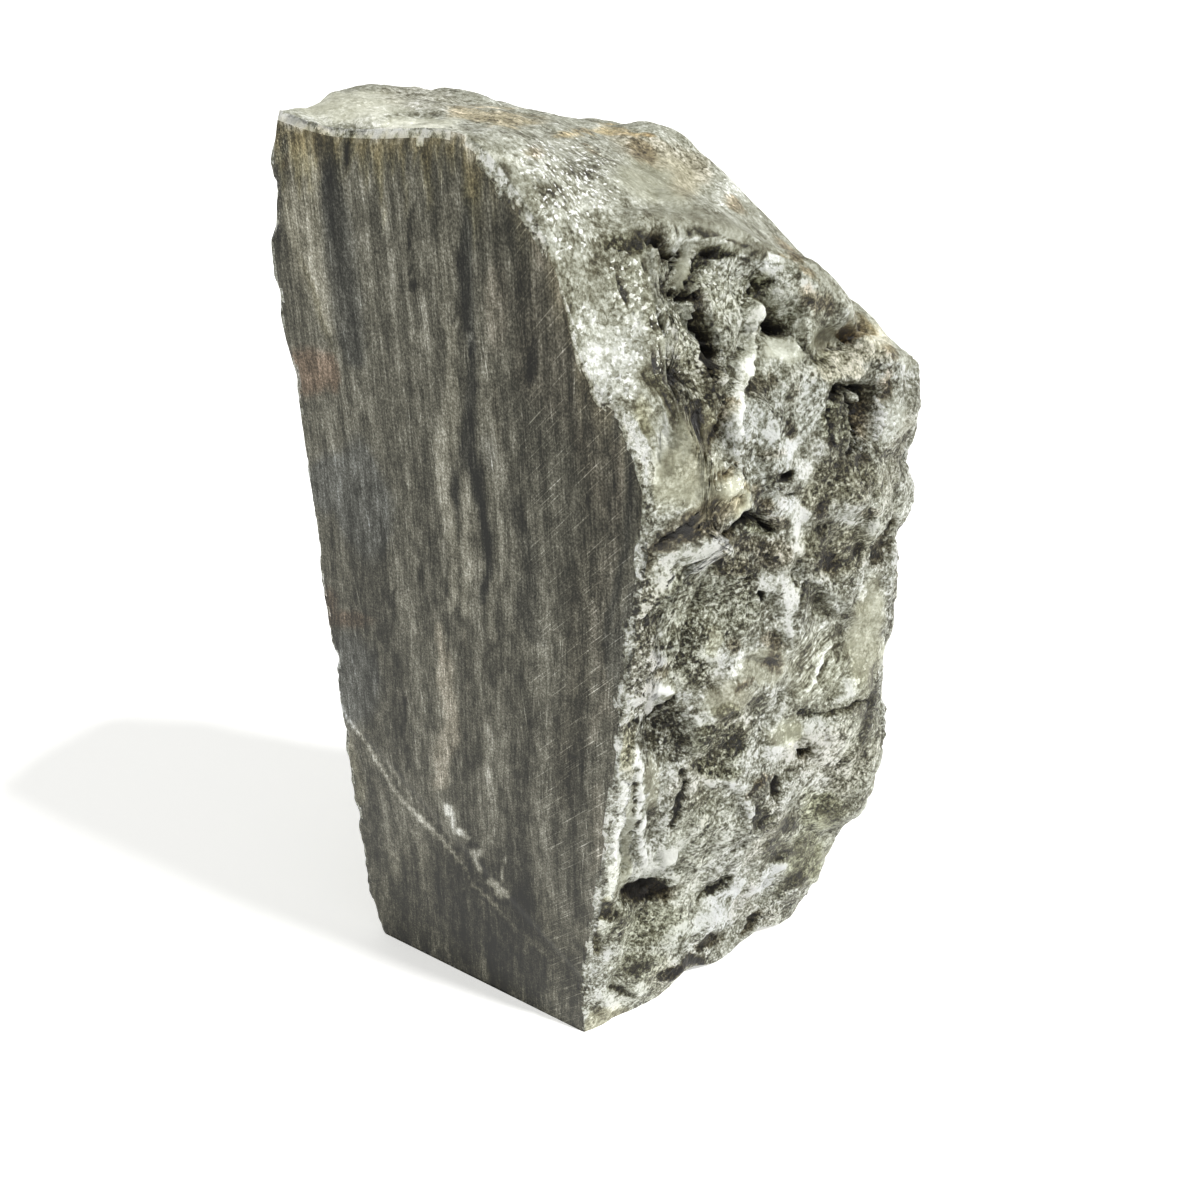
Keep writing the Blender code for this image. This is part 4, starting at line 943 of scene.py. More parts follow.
SAWN_MARKS = (
    Mark("dark vein at the left, upper", line=((319, 132), (321, 155), (326, 182)), half=6.5, tone=-0.8,
        brown=0.25),
    Mark("dark vein at the left", line=((333, 183), (335, 215), (341, 250), (347, 285), (351, 320),
        (355, 360)), half=13, tone=-0.85, cool=0.8),
    Mark("core of the left vein", line=((331, 190), (332, 220), (336, 245)), half=3.5, tone=-0.7, cool=0.5),
    Mark("black streak", line=((350, 150), (349, 166), (348, 181)), half=2, tone=-2.2),
    Mark("brown shade round the streak", line=((352, 130), (350, 160), (350, 185)), half=4, tone=-0.5,
        olive=0.5),
    Mark("cream band", ovals=((305, 178, 16, 44, -4),), line=((300, 160), (303, 200), (308, 240), (318, 270),
        (328, 300), (336, 325)), half=17, tone=0.85, cream=0.8),
    Mark("left of the cream band", line=((287, 190), (290, 240), (300, 290), (306, 330)), half=8, tone=0.35,
        cream=0.3),
    Mark("olive line", line=((302, 262), (318, 300), (328, 330), (333, 352)), half=3, tone=-0.6, olive=0.4),
    Mark("thin dark streaks", line=((414, 195), (409, 230), (408, 252)), half=2.6, tone=-1.1),
    Mark("black spots", ovals=((411, 282, 2, 3, 0), (415, 298, 5, 3, 0)), tone=-2.4),
    Mark("shade round the spots", ovals=((420, 292, 14, 12, 0),), tone=-0.5),
    Mark("middle vein, upper", line=((468, 192), (467, 230), (465, 270), (468, 310), (471, 345)), half=6,
        tone=-1.25, cool=0.7),
    Mark("middle vein", line=((471, 340), (472, 385), (470, 420), (465, 455), (467, 495), (471, 530),
        (474, 575), (478, 600)), half=5, tone=-1.3, cool=0.6),
    Mark("shade right of the middle vein", ovals=((480, 248, 8, 16, 0), (478, 215, 5, 20, 0)), tone=-0.5),
    Mark("olive over the middle vein", ovals=((470, 180, 10, 12, 0),), tone=-0.3, olive=0.6),
    Mark("pale left of the middle vein, upper", line=((450, 190), (446, 250), (444, 300), (448, 330)),
        half=8, tone=0.5, cream=0.2),
    Mark("pale vein", line=((452, 330), (452, 380), (450, 430), (449, 480), (451, 520), (456, 560),
        (459, 610)), half=7.5, tone=1, cream=0.45),
    Mark("pale vein, lower", line=((448, 630), (450, 670), (447, 710), (443, 750), (442, 785)), half=8.5,
        tone=1.1, cream=0.6, pink=0.15),
    Mark("second pale vein", line=((492, 270), (488, 320), (488, 370), (486, 430), (487, 490), (490, 540),
        (486, 590), (490, 650)), half=8, tone=0.7, cream=0.15),
    Mark("patch of the second pale vein", ovals=((484, 455, 9, 16, 0),), tone=0.45, cool=0.3),
    Mark("pale upper middle", line=((490, 190), (487, 230), (495, 262)), half=8, tone=0.3),
    Mark("dark right vein, upper", line=((505, 190), (510, 235), (519, 268), (522, 300)), half=5.5,
        tone=-0.95),
    Mark("dark right vein", line=((498, 372), (498, 410), (497, 440)), half=3.2, tone=-1.2, brown=0.2),
    Mark("short right vein", line=((535, 335), (536, 372)), half=3.5, tone=-1.3, cool=0.4),
    Mark("mauve of the right", ovals=((560, 350, 40, 90, -15), (600, 460, 26, 60, -8)), tone=-0.15,
        pink=0.12),
    Mark("pale flake", ovals=((537, 248, 6, 20, -15), (497, 300, 12, 36, 0)), tone=0.3, pink=0.15),
    Mark("shade of the right", ovals=((566, 600, 46, 230, 3),), tone=-0.32),
    Mark("dark of the right", line=((575, 440), (590, 520), (580, 600), (570, 680), (565, 800)), half=16,
        tone=-0.25, brown=0.15),
    Mark("vein by the front edge", line=((636, 470), (634, 520), (627, 560), (619, 600), (617, 640),
        (611, 680)), half=3.5, tone=-1, cool=0.5),
    Mark("second vein by the front edge", line=((609, 430), (612, 480), (602, 515)), half=2.5, tone=-0.9),
    Mark("band by the front edge", line=((622, 440), (622, 500), (612, 550), (603, 620), (600, 680),
        (592, 740)), half=8, tone=0.35, pink=0.1),
    Mark("strip of the front edge", line=((604, 790), (602, 830), (598, 870)), half=6, tone=0.7, cream=0.2,
        pink=0.08),
    Mark("shade below the band", line=((640, 590), (628, 650), (620, 690)), half=7, tone=-0.5, cool=0.4),
    Mark("short black streaks", line=((378, 520), (382, 540), (385, 562)), half=2.6, tone=-1, cool=0.4),
    Mark("black streak, second", line=((422, 562), (421, 580), (424, 590)), half=2.8, tone=-1.2),
    Mark("black streak, third", line=((398, 590), (395, 606), (395, 620)), half=2.2, tone=-1.6),
    Mark("black streak, fourth", line=((377, 642), (375, 665), (377, 680)), half=3, tone=-0.8, cool=0.3),
    Mark("black streak, fifth", line=((402, 700), (402, 730), (406, 752), (409, 774)), half=2.4, tone=-1.4),
    Mark("dark middle, lower", line=((430, 440), (428, 500), (435, 560)), half=6, tone=-0.6),
    Mark("blue-grey left", ovals=((352, 680, 26, 44, 0), (365, 500, 22, 60, -8), (335, 485, 20, 30, 0)),
        tone=0.05, cool=1.2),
    Mark("grey streaks, right of middle", line=((512, 500), (520, 560), (528, 620), (536, 640)), half=8,
        tone=-0.45, cool=0.2),
    Mark("pink blotch", ovals=((306, 372, 22, 24, 10), (328, 372, 8, 20, -8)), tone=0.1, pink=1),
    Mark("lower pink blotch", ovals=((352, 622, 24, 8, 0), (335, 606, 12, 14, 0)), pink=0.8),
    Mark("cream lower left edge", line=((345, 740), (350, 780), (354, 800)), half=6, tone=0.5, olive=0.3),
    Mark("shade below the step", ovals=((470, 930, 120, 70, 30),), tone=-0.95, olive=0.2),
    Mark("dark streaks below the step", line=((366, 770), (372, 830), (388, 900)), half=6, tone=-0.5),
    Mark("second dark streak below", line=((455, 890), (462, 930), (465, 960)), half=3.5, tone=-0.8),
    Mark("third dark streak below", line=((490, 925), (492, 960), (494, 985)), half=3.6, tone=-1.1),
    Mark("fourth dark streak below", line=((498, 790), (515, 850), (535, 930), (545, 990)), half=5,
        tone=-0.5),
    Mark("pale streak below", line=((470, 870), (476, 920), (480, 965)), half=5, tone=0.4),
    Mark("pale streak over the step", line=((478, 770), (472, 790), (474, 815)), half=5, tone=0.6),
    Mark("dark over the step", ovals=((495, 862, 14, 14, 0), (470, 850, 10, 10, 0)), tone=-0.35),
    Mark("line of the step", line=((340, 704), (352, 728), (370, 752), (392, 786), (410, 808), (430, 834),
        (452, 861), (480, 890), (498, 912)), half=2, tone=1.9, cream=0.1),
    Mark("end of the line", line=((498, 912), (520, 936), (535, 952)), half=1.6, tone=0.9),
    Mark("second line of the step", line=((386, 762), (400, 780), (414, 800)), half=1.8, tone=1.1),
    Mark("white bruises", ovals=((448, 810, 5, 8, -20), (450, 822, 4, 6, 0), (456, 830, 12, 4, 25),
        (468, 838, 6, 4, 20), (478, 855, 8, 5, 10), (480, 866, 3, 8, -15), (492, 884, 6, 4, 30),
        (500, 893, 7, 6, 40), (504, 875, 3, 9, 10), (508, 862, 4, 2, -30)), tone=2.6, cool=0.2),
    Mark("pale scratches, right", ovals=((590, 600, 20, 60, 10),), grit=0.5),
    Mark("ticks of the middle vein", ovals=((470, 338, 4, 6, -30), (457, 327, 3, 3, 0)), tone=2.4),
    Mark("crystal chip", ovals=((284, 140, 11, 18, 10),), grit=1.5, cool=0.6, tone=0.2),
    Mark("brown under the chip", ovals=((287, 165, 5, 8, 0),), brown=0.8, tone=-0.6),
    Mark("dark broken rim", line=((274, 165), (275, 200), (273, 235), (272, 255)), half=4.5, tone=-0.9,
        grit=0.7),
    Mark("corner shade", line=((560, 960), (575, 1000), (580, 1030)), half=9, tone=-0.5),
    Mark("beige at the corner", ovals=((585, 937, 10, 14, -20), (590, 1015, 10, 12, 0)), tone=1, cream=0.4),
)

MARKS = {Side.ROUGH: ROUGH_MARKS, Side.TOP: TOP_MARKS, Side.SAWN: SAWN_MARKS}


def cell_rings(counts: tuple[int, int, int], side: Side, steps: tuple[int, int]) -> tuple[Array, ...]:
    """Rings of lattice places round the cells of one side.

    A cell spans some lattice steps along each of the side's two axes. The ring of a cell at the side's
    border also takes in the lattice places between its corners there, so that sides with cells of
    different sizes share every place of their common edge.

    Args:
        counts: lattice steps along x, y and z.
        side: which side of the cube.
        steps: lattice steps in a cell along the side's two axes.

    Returns:
        Whole-number codes of the ring's places, one row for each cell, and which of them are kept.
    """
    axis, end = side.value
    along, up = [k for k in range(3) if k != axis]
    cells_u, cells_v = counts[along] // steps[0], counts[up] // steps[1]
    u, v = (g.ravel()[:, None] for g in np.meshgrid(np.arange(cells_u), np.arange(cells_v), indexing="ij"))
    at_u, at_v = np.arange(steps[0])[None, :], np.arange(steps[1])[None, :]
    low_u, low_v, high_u, high_v = u * steps[0], v * steps[1], (u + 1) * steps[0], (v + 1) * steps[1]
    ring_u = np.hstack([low_u + at_u, high_u + 0 * at_v, high_u - at_u, low_u + 0 * at_v])
    ring_v = np.hstack([low_v + 0 * at_u, low_v + at_v, high_v + 0 * at_u, high_v - at_v])
    keep = np.hstack([(at_u == 0) | (v == 0), (at_v == 0) | (u == cells_u - 1),
                      (at_u == 0) | (v == cells_v - 1), (at_v == 0) | (u == 0)])
    place = [None, None, None]
    place[axis] = np.full(ring_u.shape, end * counts[axis])
    place[along], place[up] = ring_u, ring_v
    code = (place[0] * (counts[1] + 1) + place[1]) * (counts[2] + 1) + place[2]
    if (axis == 1) == (end == 1):
        code, keep = code[:, ::-1], keep[:, ::-1]
    return code, keep


@dataclass(frozen=True)
class RimStain:
    """Pale, glassy rim along the sawn face's upper edge, and the brown stain that runs down from it."""
    streak_mm: tuple[float, float] = (3.0, 60.0)
    thread_mm: tuple[float, float] = (1.3, 25.0)
    seed: int = 71
    flat_until_x: float = 72.0
    flat_fade: float = 14.0
    pale_depth: float = 3.4
    pale_wander: float = 3.0
    pale_fade: float = 2.2
    stain_depth: float = 17.0
    stain_wander: float = 20.0
    stain_threads: float = 8.0
    stain_fade: float = 12.0
    stain_on_slope: float = 0.35
    tan_depth: float = 9.0
    tan_wander: float = 8.0
    tan_fade: float = 5.0
    pale_looks: Weights = (("tone", 1.9), ("cream", 0.9))
    stain_looks: Weights = (("tone", 0.3), ("olive", 0.9))
    tan_look: float = 0.45

    def lay(self, looks: Looks, points: Array, there: Array, rim: Array) -> None:
        """Adds the rim and the stain to the looks. Both wander up and down along the edge.

        Args:
            looks: masks of the looks, by name.
            points: places on the plain form.
            there: which of them lie on the sawn face.
            rim: height of the top over each place.
        """
        x, _, z = points[there].T
        below = rim[there] - z
        streak, thread = (waves(np.stack([x / wide, 0 * x, z / tall], axis=1), self.seed + k)
                          for k, (wide, tall) in enumerate((self.streak_mm, self.thread_mm)))
        flat = 1.0 - ease((x - self.flat_until_x) / self.flat_fade)
        pale = ease((self.pale_depth + self.pale_wander * streak - below) / self.pale_fade) * flat
        reach = self.stain_depth + self.stain_wander * streak + self.stain_threads * thread
        stain = ease((reach - below) / self.stain_fade) * (1.0 - pale)
        stain *= self.stain_on_slope + (1.0 - self.stain_on_slope) * flat
        for name, strength in self.pale_looks:
            looks[name][there] += strength * pale
        for name, strength in self.stain_looks:
            looks[name][there] += strength * stain
        tan = ease((self.tan_depth + self.tan_wander * streak - below) / self.tan_fade)
        looks["tan"][there] += self.tan_look * stain * tan


@dataclass(frozen=True)
class AlabasterBlock:
    """The stone: its lattice, its surface and its two finishes."""
    form: StoneForm = StoneForm()
    relief: BrokenRelief = BrokenRelief()
    stain: RimStain = RimStain()
    counts: tuple[int, int, int] = (100, 140, 320)
    crowding: float = 1.12
    cell_steps: tuple[tuple[Side, tuple[int, int]], ...] = (
        (Side.SAWN, (1, 2)), (Side.BACK, (2, 2)), (Side.LEFT, (2, 2)), (Side.ROUGH, (1, 1)),
        (Side.FOOT, (4, 4)), (Side.TOP, (1, 1)))
    jitter: float = 0.32
    jitter_seed: int = 90
    calm_at_foot: float = 0.3
    calm_height: float = 18.0
    calm_at_sawn: float = 0.25
    calm_on_top: float = 0.45
    hidden_crags: float = 1.3
    hidden_from: tuple[float, float, float] = (0.8, 0.0, 0.9)
    hidden_fade: tuple[float, float, float] = (0.15, 0.2, 0.06)
    origin_x: float = 86.387
    origin_y: float = 67.300
    step_line: Line = ((-10, 136), (0, 126), (38, 92), (76, 60), (100, 40), (120, 22))
    step_depth: float = 0.5
    step_width: float = 1.6
    saw_depth_slack: float = 0.05
    chip_reach: float = 0.9
    chip_waves: tuple[tuple[float, float], ...] = ((16.0, 2.6), (6.5, 1.8), (2.9, 0.9))
    chip_seed: int = 81
    chip_slope: float = 0.9
    chip_full_depth: float = 0.5
    scoop_share: float = 0.58
    bites: tuple[tuple[float, float, float, float], ...] = ((129, 264, 8, 4.0), (3, 318, 8, 3.0))
    bed_level: float = 170.0
    bed_lean: float = 0.09
    bed_upright_x: float = 105.0
    bed_wave: float = 5.0
    bed_wave_mm: tuple[float, float, float] = (70.0, 70.0, 150.0)
    bed_seed: int = 33
    fields: tuple[tuple[str, float, float, float], ...] = (
        ("grit", 34.0, -0.05, 0.8), ("olive", 40.0, 0.0, 0.7), ("brown", 26.0, 0.18, 0.35),
        ("fibre", 45.0, 0.0, 0.8), ("calm", 22.0, 0.08, 0.45), ("cream", 50.0, 0.0, 0.2),
        ("cool", 38.0, 0.0, 0.15), ("sugar", 36.0, 0.05, 0.6), ("tone", 15.0, 0.08, 0.6),
        ("tone", 13.0, 0.16, -0.5))
    field_height: float = 1.4
    field_fade: float = 0.22
    field_seed: int = 140
    field_loss_on_rough: float = 0.65
    field_loss_on_top: float = 0.9
    rough_starts: float = 0.93
    rough_fade: float = 0.06
    rough_seen_from: float = 0.9
    top_starts: float = 0.985
    top_looks: Weights = (("tone", 0.18), ("calm", 0.55))
    ragged_waves: tuple[tuple[float, float, int], ...] = ((7.0, 11.0, 61), (5.0, 4.0, 65), (4.0, 2.1, 69))
    ragged_on_broken: float = 0.8
    ragged_on_sawn: float = 0.25
    strongest_look: float = 1.6
    chipped_looks: Weights = (("tone", 0.6), ("cream", 0.15), ("grit", 0.3),
                                                    ("sugar", 0.3))
    # The raised look follows the relief: lighter on crests, as white bruises and painted highlight, and
    # darker in pits and cracks, as painted shade
    raised_gain: float = 0.45
    raised_by_marks: float = 0.3
    hatched_from_x: float = 82.0
    hatched_fade: float = 16.0
    hatched_wander: float = 6.0
    hatched_wave_mm: float = 20.0
    hatched_seed: int = 91
    mesh_name: str = "alabaster_stone"

    def lattice(self) -> tuple[Array, Array, Array]:
        """Places of the lattice that the sides use, and the rings of their cells.

        Returns:
            Rows of (a, b, c) from 0 to 1, the ring places of all cells in one row, and each ring's length.
        """
        codes, totals = [], []
        for side, steps in self.cell_steps:
            code, keep = cell_rings(self.counts, side, steps)
            codes.append(code[keep])
            totals.append(keep.sum(axis=1))
        used, rings = np.unique(np.concatenate(codes), return_inverse=True)
        rows, layers = self.counts[1] + 1, self.counts[2] + 1
        whole = np.stack([used // (rows * layers), used // layers % rows, used % layers], axis=1)
        inside = (whole > 0) & (whole < self.counts)
        free = (inside.sum(axis=1) == 2) & inside[:, 1]
        shift = np.stack([chance(whole, self.jitter_seed + k) - 0.5 for k in range(3)], axis=1)
        moved = whole + np.where(inside & free[:, None], 2.0 * self.jitter * shift, 0.0)
        abc = moved / self.counts
        abc[:, 1] **= self.crowding
        return abc, rings, np.concatenate(totals)

    def saw_surface(self, x: Array, z: Array) -> Array:
        """Depth of the sawn face: flat, with a shallow step down below the line where two cuts met."""
        gap, _ = line_gap(x, z, self.step_line)
        return self.step_depth * ease(0.5 + gap / self.step_width)

    def chipped_surface(self, x: Array, z: Array, rim: Array) -> Array:
        """Depth of the sawn face with its border chipped away: a bevel whose reach into the face varies.

        Args:
            x: distances along the foot.
            z: heights.
            rim: height of the top over each place.

        Returns:
            Depths behind the plane of the cut.
        """
        flat = np.stack([x, 0 * x, z], axis=1)
        slope = np.where(x > self.form.scoop_start_x, self.scoop_share, 1.0)
        inside = np.minimum(profile(z, self.form.front_edge_x) - x, x - profile(z, self.form.left_edge_x))
        inside = np.minimum(inside, slope * (rim - z))
        reach = self.chip_reach
        for k, (size, share) in enumerate(self.chip_waves):
            reach = reach + share * waves(flat / size, self.chip_seed + k)
        for bite_x, bite_z, half, depth in self.bites:
            reach = reach + depth * np.exp(-((x - bite_x) ** 2 + (z - bite_z) ** 2) / half ** 2)
        return self.saw_surface(x, z) + self.chip_slope * np.clip(np.maximum(reach, 0.0) - inside, 0.0, None)

    def surface(self, abc: Array) -> tuple[Array, Looks]:
        """Draws the lattice out to the stone.

        Args:
            abc: rows of (a, b, c) on the lattice cube.

        Returns:
            Points in the stone's own frame, and the masks of its looks, by attribute name.
        """
        a, b, c = abc.T
        form = self.form
        rim = form.rim_height(a, b)
        height = c * rim
        x, y, run, out_x, out_y = form.plan(a, b, height)
        left_x = profile(height, form.left_edge_x)
        width = profile(height, form.front_edge_x) - left_x
        points = np.stack([x, y, height], axis=1)
        coarse = self.relief.coarse(points, a, run, rim)
        out = form.way_out(a, b, c, out_x, out_y)
        looks, marked = self.looks(points, points + out * coarse[:, None], abc, rim)
        from_rough, from_sawn, from_top = ((abc - self.hidden_from) / self.hidden_fade).T
        hidden = (1.0 - ease(from_rough)) * (1.0 - ease(from_top)) * ease(from_sawn)
        fine = self.relief.fine(points, looks, 1.0 + (self.hidden_crags - 1.0) * hidden)
        on_sawn = (b < TINY) & (a > TINY) & (a < 1 - TINY)
        on_foot = (c < TINY) & (a > TINY) & (a < 1 - TINY) & (b < 1 - TINY)
        off_foot, off_sawn = ease(height / self.calm_height), ease(b / form.front_band)
        calm = self.calm_at_foot + (1.0 - self.calm_at_foot) * off_foot
        calm *= self.calm_at_sawn + (1.0 - self.calm_at_sawn) * off_sawn
        on_top = ease((c - self.relief.top_from) / (1.0 - self.relief.top_from))
        rise = (coarse + fine * (1.0 - self.calm_on_top * on_top)) * calm + marked
        rise = np.where(on_sawn | on_foot, 0.0, rise)
        rise -= np.where(on_sawn, 0.0, form.edge_rounding(a, b, c, width, rim) * off_sawn)
        points += out * rise[:, None]
        low = np.clip(1.0 - height / form.foot_reach, 0.0, 1.0)
        points[:, 2] += (form.underside_lift(points, a, b, width, run) - form.foot_allowance) * low
        points[:, 2] = np.maximum(points[:, 2], 0.0)
        rim_there = form.rim_height(np.clip((points[:, 0] - left_x) / width, 0, 1), 0 * a)
        cut = self.chipped_surface(points[:, 0], points[:, 2], rim_there)
        points[:, 1] = np.maximum(points[:, 1], cut)
        chips = cut - self.saw_surface(points[:, 0], points[:, 2])
        chipped = on_sawn * ease(chips / self.chip_full_depth)
        aims = dict(self.chipped_looks)
        for name in LOOKS:
            looks[name] += chipped * (aims.get(name, 0.0) - looks[name])
        # painted highlight on the relief's crests and painted shade in its pits and cracks, with the crests'
        # white bruises
        looks["raised"] = np.tanh(self.raised_gain * (fine + self.raised_by_marks * marked))
        looks["bed"] = self.bedding(points)
        wander = self.hatched_wander * waves(points / self.hatched_wave_mm, self.hatched_seed)
        looks["hatched"] = ease((points[:, 0] - self.hatched_from_x + wander) / self.hatched_fade)
        return points, looks

    def bedding(self, points: Array) -> Array:
        """Distance across the bedding, which stands upright at the right and leans at the left.

        Args:
            points: places in the stone's own frame.

        Returns:
            Distances in millimetres, which small waves make uneven.
        """
        x, _, z = points.T
        up = z - self.bed_level
        wave = self.bed_wave * waves(points / self.bed_wave_mm, self.bed_seed)
        return x - self.bed_lean * up * (1.0 - x / self.bed_upright_x) + wave

    def looks(self, points: Array, raised: Array, abc: Array, rim: Array) -> tuple[Looks, Array]:
        """Looks of the surface at every point.

        Every broken side has soft fields of each look. The marks of the rough side, the top and the sawn
        side are laid over them, with edges that small waves make ragged.

        Args:
            points: places on the plain form.
            raised: the same with the coarse relief, as the photograph shows them.
            abc: rows of (a, b, c) on the lattice cube.
            rim: height of the top over each place.

        Returns:
            Masks of the looks by name, and how far the marks raise the surface.
        """
        a, b, c = abc.T
        looks = {name: np.zeros(len(points)) for name in LOOKS}
        rise = np.zeros(len(points))
        on_sawn = b < TINY
        on_rough = ease((a - self.rough_starts) / self.rough_fade)
        on_top = (c > self.top_starts) & ~on_sawn
        kept = ~on_sawn * (1.0 - self.field_loss_on_rough * on_rough)
        kept *= 1.0 - self.field_loss_on_top * on_top
        for k, (name, size, start, strength) in enumerate(self.fields):
            field = waves(points / (size, size, self.field_height * size), self.field_seed + k)
            looks[name] += kept * strength * ease((field - start) / self.field_fade)
        for name, strength in self.top_looks:
            looks[name] += strength * on_top
        seen = ((a > self.rough_seen_from) | (c > self.top_starts)) & ~on_sawn
        share = np.where(on_sawn, self.ragged_on_sawn, self.ragged_on_broken)
        u, v = PhotoView().pixels(raised)
        for far, size, seed in self.ragged_waves:
            u += share * far * waves(points / size, seed)
            v += share * far * waves(points / size, seed + 1)
        for side, there in ((Side.ROUGH, seen), (Side.TOP, seen), (Side.SAWN, on_sawn)):
            u_there, v_there = u[there], v[there]
            for mark in MARKS[side]:
                mask = mark.mask(u_there, v_there)
                rise[there] += mark.rise * mask
                for name in LOOKS:
                    if getattr(mark, name):
                        looks[name][there] += getattr(mark, name) * mask
        self.stain.lay(looks, points, on_sawn, rim)
        for name in LOOKS[1:]:
            looks[name] = np.clip(looks[name], 0.0, self.strongest_look)
        looks["calm"] = np.clip(looks["calm"], 0.0, 1.0)
        return looks, rise

    def build(self) -> bpy.types.Object:
        """Makes the stone's mesh, with its looks as attributes.

        Returns:
            The stone's object, at the middle of the CAD box's foot.
        """
        abc, rings, totals = self.lattice()
        points, masks = self.surface(abc)
        low, high = (np.array(corner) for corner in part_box(NODE))
        places = (points - (self.origin_x, self.origin_y, 0.0)) * MM
        places = np.clip(places, low, high)
        mesh = bpy.data.meshes.new(self.mesh_name)
        mesh.vertices.add(len(places))
        mesh.vertices.foreach_set("co", places.ravel())
        mesh.loops.add(len(rings))
        mesh.loops.foreach_set("vertex_index", rings.astype(np.int32))
        mesh.polygons.add(len(totals))
        starts = np.concatenate([[0], np.cumsum(totals)[:-1]])
        mesh.polygons.foreach_set("loop_start", starts.astype(np.int32))
        for name, values in masks.items():
            layer = mesh.attributes.new(name, "FLOAT", "POINT")
            layer.data.foreach_set("value", values.astype(np.float32))
        mesh.update(calc_edges=True)
        mesh.validate()
        flat = self.on_saw_cut(points, rings, starts)
        mesh.polygons.foreach_set("material_index", flat.astype(np.int32))
        stone = bpy.data.objects.new(self.mesh_name, mesh)
        bpy.context.scene.collection.objects.link(stone)
        return stone

    def on_saw_cut(self, points: Array, rings: Array, starts: Array) -> Array:
        """Whether all places of each ring lie on the sawn surface."""
        off = points[:, 1] - self.saw_surface(points[:, 0], points[:, 2])
        return np.maximum.reduceat(off[rings], starts) < self.saw_depth_slack

    def dress(self, stone: bpy.types.Object) -> None:
        """Gives the stone its broken and its sawn finish."""
        stone.data.materials.append(BrokenAlabaster().material())
        stone.data.materials.append(SawnAlabaster().material())


Ramp = tuple[tuple[float, str], ...]
Tree = bpy.types.NodeTree
# What feeds an input: a socket, or a node whose first output is meant
Source = Any
Sources = dict[str, Source]


def add_node(tree: Tree, kind: str, inputs: dict[Any, Any], **settings: Any) -> bpy.types.Node:
    """Adds a node with its inputs and settings.

    Args:
        tree: the material's node tree.
        kind: the shader node's type, without the word in front that all of them share.
        inputs: what each input holds, by the input's name or number: a source that feeds it, or a value.
        settings: properties of the node, by name.

    Returns:
        The new node.
    """
    node = tree.nodes.new("ShaderNode" + kind)
    for name, value in settings.items():
        setattr(node, name, value)
    for key, value in inputs.items():
        if isinstance(value, bpy.types.Node):
            value = value.outputs[0]
        if isinstance(value, bpy.types.NodeSocket):
            tree.links.new(value, node.inputs[key])
        else:
            node.inputs[key].default_value = value
    return node


@dataclass(frozen=True)
class Tint:
    """A hue that a look lends the stone: what its red, green and blue are multiplied by."""
    look: str
    red: float
    green: float
    blue: float


@dataclass(frozen=True)
class Grain:
    """Noise that lightens and darkens the stone.

    Size is in millimetres along each axis. Weight is how much of the tonal scale it spans, on its own
    and for each unit of a look.
    """
    size: tuple[float, float, float]
    weight: float
    detail: float = 3.0
    roughness: float = 0.6
    look: str = ""
    look_weight: float = 0.0


def look_sockets(tree: Tree, names: tuple[str, ...]) -> Sources:
    """Sockets with the strengths of some looks, from the mesh's attributes of those names."""
    return {name: add_node(tree, "Attribute", {}, attribute_name=name).outputs["Fac"] for name in names}


def grain_total(tree: Tree, place: Source, looks: Sources, level: float, weights: Weights,
                grains: tuple[Grain, ...]) -> Source:
    """Adds up a place on the tonal scale from a level, looks and grains.

    Args:
        tree: the material's node tree.
        place: source of the place on the stone, in millimetres.
        looks: sockets with the strengths of the looks, by name.
        level: the scale's value with every look and grain at rest.
        weights: pairs of a look's name and its weight.
        grains: the noises.

    Returns:
        Source of the sum.
    """
    total = add_node(tree, "Value", {})
    total.outputs[0].default_value = level
    for name, weight in weights:
        total = add_node(tree, "Math", {0: looks[name], 1: weight, 2: total}, operation="MULTIPLY_ADD")
    for grain in grains:
        size = tuple(1.0 / side for side in grain.size)
        scaled = add_node(tree, "VectorMath", {0: place, 1: size}, operation="MULTIPLY")
        noise = add_node(tree, "TexNoise", {"Vector": scaled, "Scale": 1.0, "Detail": grain.detail,
                                            "Roughness": grain.roughness})
        centred = add_node(tree, "Math", {0: noise, 1: 0.5}, operation="SUBTRACT")
        weight = add_node(tree, "Value", {})
        weight.outputs[0].default_value = grain.weight
        if grain.look:
            weight = add_node(tree, "Math", {0: looks[grain.look], 1: grain.look_weight, 2: weight},
                              operation="MULTIPLY_ADD")
        total = add_node(tree, "Math", {0: centred, 1: weight, 2: total}, operation="MULTIPLY_ADD")
    return total


def tinted_ramp(tree: Tree, level: Source, looks: Sources, ramp: Ramp, tints: tuple[Tint, ...]) -> Source:
    """Turns a place on the tonal scale into a colour, and lends it the hues of the looks.

    Args:
        tree: the material's node tree.
        level: source of the place on the scale.
        looks: sockets with the strengths of the looks, by name.
        ramp: the scale's colours, as pairs of a place and an sRGB colour.
        tints: the hues.

    Returns:
        Source of the colour.
    """
    node = add_node(tree, "ValToRGB", {0: level})
    stops = node.color_ramp.elements
    for at, _ in ramp[2:]:
        stops.new(at)
    for stop, (at, colour) in zip(stops, ramp):
        stop.position = at
        stop.color = linear(colour)
    shown = node.outputs["Color"]
    for tint in tints:
        mixed = add_node(tree, "Mix",
                         {0: looks[tint.look], 6: shown, 7: (tint.red, tint.green, tint.blue, 1.0)},
                         data_type="RGBA", blend_type="MULTIPLY")
        shown = mixed.outputs[2]
    return shown


def stone_place(tree: Tree) -> Source:
    """Source of the place on the stone, in millimetres, from its Object coordinates."""
    space = add_node(tree, "TexCoord", {})
    return add_node(tree, "VectorMath", {0: space.outputs["Object"], "Scale": 1.0 / MM}, operation="SCALE")


